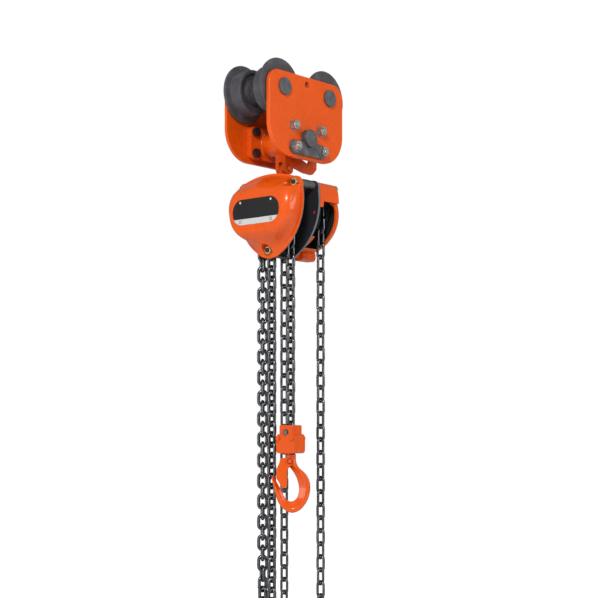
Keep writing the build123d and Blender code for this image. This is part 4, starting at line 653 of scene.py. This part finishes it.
class HOIST_OT_drive(bpy.types.Operator):
    """Finishes the hand wheel, the brake, the sheave and the gears"""

    bl_idname = "hoist.drive"
    bl_label = "Drive"

    def execute(self, context):
        _, _, edge = settings()
        finish = finishes()
        rounded("hand_wheel", "hand_wheel_body", finish["plate_black"], edge.sheet)
        coat(["drive_shaft", "brake_hub", "wheel_nut", "load_sheave", "load_gear"], finish["dark_steel"])
        coat(["friction_discs"], finish["plate_black"])
        coat(["intermediate_gear_front", "intermediate_gear_rear"], finish["dark_steel"])
        return {"FINISHED"}


class HOIST_OT_load_chain(bpy.types.Operator):
    """Links the load chain over the sheave, down to the hook and round the slack loop"""

    bl_idname = "hoist.load_chain"
    bl_label = "Load chain"

    def execute(self, context):
        top = HOIST_AXIS_Z - LOAD_PITCH / 2
        arch = [180 + LOAD_STEP * step for step in range(LOAD_ARCH_LINKS)]
        places = link_run(SHEAVE_X, (LOAD_CHORD, top), arch, LOAD_PITCH, True, [0.0] * LOAD_ARCH_LINKS)
        wrap = load_chain_piece("load_chain_over_sheave", places)
        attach(wrap, "hoist")
        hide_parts("load_chain_wrap")

        straight = [0.0] * FALL_LINKS
        places = link_run(SHEAVE_X, (-LOAD_CHORD, top), straight, LOAD_PITCH, False, straight)
        fall = load_chain_piece("load_chain_to_hook", places)
        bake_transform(fall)
        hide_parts("load_chain_fall")

        headings = [0.0] * SLACK_LINKS + [-LOOP_LEAN] * LOOP_LEAN_LINKS
        headings += [LOAD_STEP * step for step in range(LOAD_ARCH_LINKS)]
        headings += [180 + LOOP_LEAN] * LOOP_LEAN_LINKS + [180.0] * DEAD_LINKS
        dead = [
            DEAD_TURN * min(1, link / DEAD_TURN_LINKS, (DEAD_LINKS - 1 - link) / DEAD_TURN_LINKS)
            for link in range(DEAD_LINKS)
        ]
        turns = [0.0] * (len(headings) - DEAD_LINKS) + dead
        places = link_run(SHEAVE_X, (LOAD_CHORD, top), headings, LOAD_PITCH, False, turns)
        slack = load_chain_piece("load_chain_slack_loop", places)
        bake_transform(slack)
        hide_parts("load_chain_slack", "load_chain_loop")
        return {"FINISHED"}


class HOIST_OT_hand_chain(bpy.types.Operator):
    """Links the endless hand chain over the hand wheel"""

    bl_idname = "hoist.hand_chain"
    bl_label = "Hand chain"

    def execute(self, context):
        _, chain, _ = settings()
        arch = [180 + HAND_STEP * step for step in range(HAND_ARCH_LINKS)]
        bowl = [HAND_STEP * step for step in range(HAND_ARCH_LINKS)]
        headings = arch + [0.0] * HAND_STRAND_LINKS + bowl + [180.0] * HAND_STRAND_LINKS
        start = (HAND_CHORD, HOIST_AXIS_Z - HAND_PITCH / 2)
        places = link_run(HAND_WHEEL_X, start, headings, HAND_PITCH, True, [0.0] * len(headings))
        piece = chain_piece(
            "hand_chain_links",
            places,
            chain.hand_wire,
            chain.hand_width,
            HAND_PITCH,
            chain.hand_play,
            finishes()["chain_black"],
        )
        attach(piece, "hoist")
        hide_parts("hand_chain")
        return {"FINISHED"}


class HOIST_OT_hook_block(bpy.types.Operator):
    """Finishes the two halves of the hook block and its pin"""

    bl_idname = "hoist.hook_block"
    bl_label = "Hook block"

    def execute(self, context):
        _, _, edge = settings()
        finish = finishes()
        for half in ("hook_block_front", "hook_block_rear"):
            rounded(half, "hook_block", finish["orange"], edge.block, 3)
        # The chain pin carries a painted shade ring round its face
        coat(["chain_pin"], finish["chain_pin"])
        rounded("block_bolts", "hook_block", finish["orange"], edge.fastener)
        return {"FINISHED"}


# Stations of the hook from its neck to its tip, as outer and inner points below the block, in mm
HOOK_STATIONS = [
    ((10, -1.4), (-10, -1.4)),
    ((10, -13), (-10, -13)),
    ((14.5, -25), (-6, -20.5)),
    ((27, -36.5), (3.2, -31.5)),
    ((34.5, -50), (10.8, -45)),
    ((36, -66), (14.9, -62)),
    ((31.5, -84), (13.2, -76)),
    ((20, -101), (8.4, -84)),
    ((4, -108.5), (1, -87.2)),
    ((-11, -103), (-5.5, -85)),
    ((-21.5, -91), (-11, -79)),
    ((-27.5, -75), (-17, -66.5)),
    ((-31.5, -58), (-23.5, -55)),
    ((-34.4, -47), (-27.8, -47)),
    ((-34.6, -43.2), (-28.8, -43)),
    ((-33.6, -40.6), (-30.2, -40.5)),
]

# The hook's shank inside the block, above its collar
HOOK_SHANK = [((8, 6), (-8, 6)), ((8, -1.2), (-8, -1.2))]

# Half sections across the hook, from its outer to its inner side: round at the neck, ridged below it
NECK_STEP = 20
NECK_SECTION = [(cos(radians(angle)), sin(radians(angle))) for angle in range(0, 181, NECK_STEP)]
BOWL_SECTION = [
    (1, 0), (0.98, 0.5), (0.9, 0.86), (0.72, 1), (0.36, 1),
    (0.16, 0.95), (-0.1, 0.66), (-0.5, 0.36), (-0.88, 0.18), (-1, 0),
]
BOWL_START = 12
HOOK_STEPS = 4
HOOK_THICK_LIMIT = 2.2


def smooth_path(points, steps):
    path = []
    ends = [points[0]] + points + [points[-1]]
    for index in range(1, len(ends) - 2):
        before, first, second, after = ends[index - 1 : index + 3]
        for step in range(steps):
            t = step / steps
            path.append(
                (first * 2 + (second - before) * t
                 + (before * 2 - first * 5 + second * 4 - after) * t * t
                 + (first * 3 - before - second * 3 + after) * t * t * t) / 2
            )
    return path + [points[-1]]


def hook_mesh(depth):
    along = Vector((cos(radians(HOOK_TURN)), sin(radians(HOOK_TURN)), 0))
    towards = Vector((along.y, -along.x, 0))
    middle = Vector((SHEAVE_X, -LOAD_CHORD, HOOK_TOP_Z))

    def place(point):
        return middle + along * point.x * MM + Vector((0, 0, point.y * MM))

    shank = [[Vector(pair[side]) for pair in HOOK_SHANK] for side in (0, 1)]
    outer = shank[0] + smooth_path([Vector(pair[0]) for pair in HOOK_STATIONS], HOOK_STEPS)
    inner = shank[1] + smooth_path([Vector(pair[1]) for pair in HOOK_STATIONS], HOOK_STEPS)
    sections = [
        half_section + [(wide, -deep) for wide, deep in half_section[-2:0:-1]]
        for half_section in (NECK_SECTION, BOWL_SECTION)
    ]
    ring = len(sections[0])
    shape = bmesh.new()
    rows = []
    for index, (first, second) in enumerate(zip(outer, inner)):
        a, b = place(first), place(second)
        centre, half = (a + b) / 2, (a - b) / 2
        thick = min(depth / 2, HOOK_THICK_LIMIT * half.length)
        share = min(1, index / BOWL_START)
        row = []
        for neck, bowl in zip(*sections):
            wide, deep = (start * (1 - share) + end * share for start, end in zip(neck, bowl))
            row.append(shape.verts.new(centre + half * wide + towards * thick * deep))
        rows.append(row)
    for lower, upper in zip(rows, rows[1:]):
        for step in range(ring):
            following = (step + 1) % ring
            shape.faces.new((lower[step], lower[following], upper[following], upper[step]))
    shape.faces.new(rows[0][::-1])
    shape.faces.new(rows[-1])
    bmesh.ops.recalc_face_normals(shape, faces=shape.faces)
    for face in shape.faces:
        face.smooth = True
    mesh = bpy.data.meshes.new("bottom_hook_forged")
    shape.to_mesh(mesh)
    shape.free()
    return mesh


class HOIST_OT_hook(bpy.types.Operator):
    """Forges the bottom hook and finishes its latch"""

    bl_idname = "hoist.hook"
    bl_label = "Bottom hook"

    def execute(self, context):
        _, _, edge = settings()
        finish = finishes()
        # The hook carries painted shade at its top, in the gap under the block
        piece = new_piece("bottom_hook_forged", hook_mesh(edge.hook_depth), finish["collared"])
        smooth = piece.modifiers.new("Smooth", "SUBSURF")
        smooth.levels = 1
        smooth.render_levels = 1
        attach(piece, "hook")
        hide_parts("bottom_hook")
        rounded("hook_latch", "latch", finish["orange"], edge.latch, 3)
        coat(["hook_nut", "latch_spring"], finish["dark_steel"])
        # The latch pin carries a painted shade ring round its head
        coat(["latch_pin"], finish["latch_pin"])
        return {"FINISHED"}


def set_floor():
    level = cad_bounds[0][2] - FLOOR_GAP
    corners = [(-1, -1), (1, -1), (1, 1), (-1, 1)]
    mesh = bpy.data.meshes.new("floor")
    mesh.from_pydata([(x * FLOOR_REACH, y * FLOOR_REACH, level) for x, y in corners], [], [(0, 1, 2, 3)])
    material, tree, shader = shader_of("floor_white")
    shader.inputs["Base Color"].default_value = (0.93, 0.93, 0.93, 1)
    shader.inputs["Roughness"].default_value = 0.9
    shader.inputs["Emission Color"].default_value = (1, 1, 1, 1)
    path = tree.nodes.new("ShaderNodeLightPath")
    glow = math_node(tree, "MULTIPLY", path.outputs["Is Camera Ray"], FLOOR_GLOW)
    tree.links.new(glow, shader.inputs["Emission Strength"])
    floor = new_piece("floor", mesh, material)


# The world is white to the camera and lights the hoist dimly
def set_world(scene):
    world = bpy.data.worlds.new("Studio")
    scene.world = world
    world.use_nodes = True
    tree = world.node_tree
    tree.nodes.clear()
    output = tree.nodes.new("ShaderNodeOutputWorld")
    path = tree.nodes.new("ShaderNodeLightPath")
    mix = tree.nodes.new("ShaderNodeMixShader")
    tree.links.new(path.outputs["Is Camera Ray"], mix.inputs["Fac"])
    for place, strength in ((1, WORLD_STRENGTH), (2, 1.0)):
        light = tree.nodes.new("ShaderNodeBackground")
        light.inputs["Color"].default_value = (1, 1, 1, 1)
        light.inputs["Strength"].default_value = strength
        tree.links.new(light.outputs["Background"], mix.inputs[place])
    tree.links.new(mix.outputs["Shader"], output.inputs["Surface"])


def set_lamps(scene):
    for name, place, size, power in LAMPS:
        lamp = bpy.data.lights.new(name, "AREA")
        lamp.size = size
        lamp.energy = power
        holder = bpy.data.objects.new(name, lamp)
        holder.location = place
        holder.rotation_euler = (Vector(LAMP_TARGET) - Vector(place)).to_track_quat("-Z", "Y").to_euler()
        scene.collection.objects.link(holder)


def set_camera(scene):
    lens = bpy.data.cameras.new("Camera")
    lens.lens = CAMERA_LENS
    lens.sensor_width = CAMERA_SENSOR
    lens.shift_y = CAMERA_SHIFT
    lens.clip_end = CAMERA_REACH
    camera = bpy.data.objects.new("Camera", lens)
    camera.location = CAMERA_PLACE
    camera.rotation_euler = (radians(90), 0, radians(CAMERA_HEADING))
    scene.collection.objects.link(camera)
    scene.camera = camera


class HOIST_OT_stage(bpy.types.Operator):
    """Sets the pale floor, the studio light and the camera"""

    bl_idname = "hoist.stage"
    bl_label = "Stage"

    def execute(self, context):
        scene = context.scene
        scene.view_settings.view_transform = "Standard"
        set_floor()
        set_world(scene)
        set_lamps(scene)
        set_camera(scene)
        return {"FINISHED"}


STEPS = (
    HOIST_OT_trolley,
    HOIST_OT_suspension,
    HOIST_OT_body,
    HOIST_OT_drive,
    HOIST_OT_load_chain,
    HOIST_OT_hand_chain,
    HOIST_OT_hook_block,
    HOIST_OT_hook,
    HOIST_OT_stage,
)


class HOIST_PT_panel(bpy.types.Panel):
    bl_label = "Trolley chain hoist"
    bl_idname = "HOIST_PT_panel"
    bl_space_type = "VIEW_3D"
    bl_region_type = "UI"
    bl_category = "Hoist"

    def draw(self, context):
        for group in (context.scene.hoist_finish, context.scene.hoist_chain, context.scene.hoist_edge):
            for name in group.__annotations__:
                self.layout.prop(group, name)
        for step in STEPS:
            self.layout.operator(step.bl_idname)


CLASSES = (FinishSettings, ChainSettings, EdgeSettings, *STEPS, HOIST_PT_panel)


def register():
    for cls in CLASSES:
        bpy.utils.register_class(cls)
    bpy.types.Scene.hoist_finish = bpy.props.PointerProperty(type=FinishSettings)
    bpy.types.Scene.hoist_chain = bpy.props.PointerProperty(type=ChainSettings)
    bpy.types.Scene.hoist_edge = bpy.props.PointerProperty(type=EdgeSettings)


def unregister():
    del bpy.types.Scene.hoist_edge
    del bpy.types.Scene.hoist_chain
    del bpy.types.Scene.hoist_finish
    for cls in reversed(CLASSES):
        bpy.utils.unregister_class(cls)


def main():
    register()
    bpy.ops.hoist.trolley()
    bpy.ops.hoist.suspension()
    bpy.ops.hoist.body()
    bpy.ops.hoist.drive()
    bpy.ops.hoist.load_chain()
    bpy.ops.hoist.hand_chain()
    bpy.ops.hoist.hook_block()
    bpy.ops.hoist.hook()
    bpy.ops.hoist.stage()


if __name__ == "__main__":
    main()
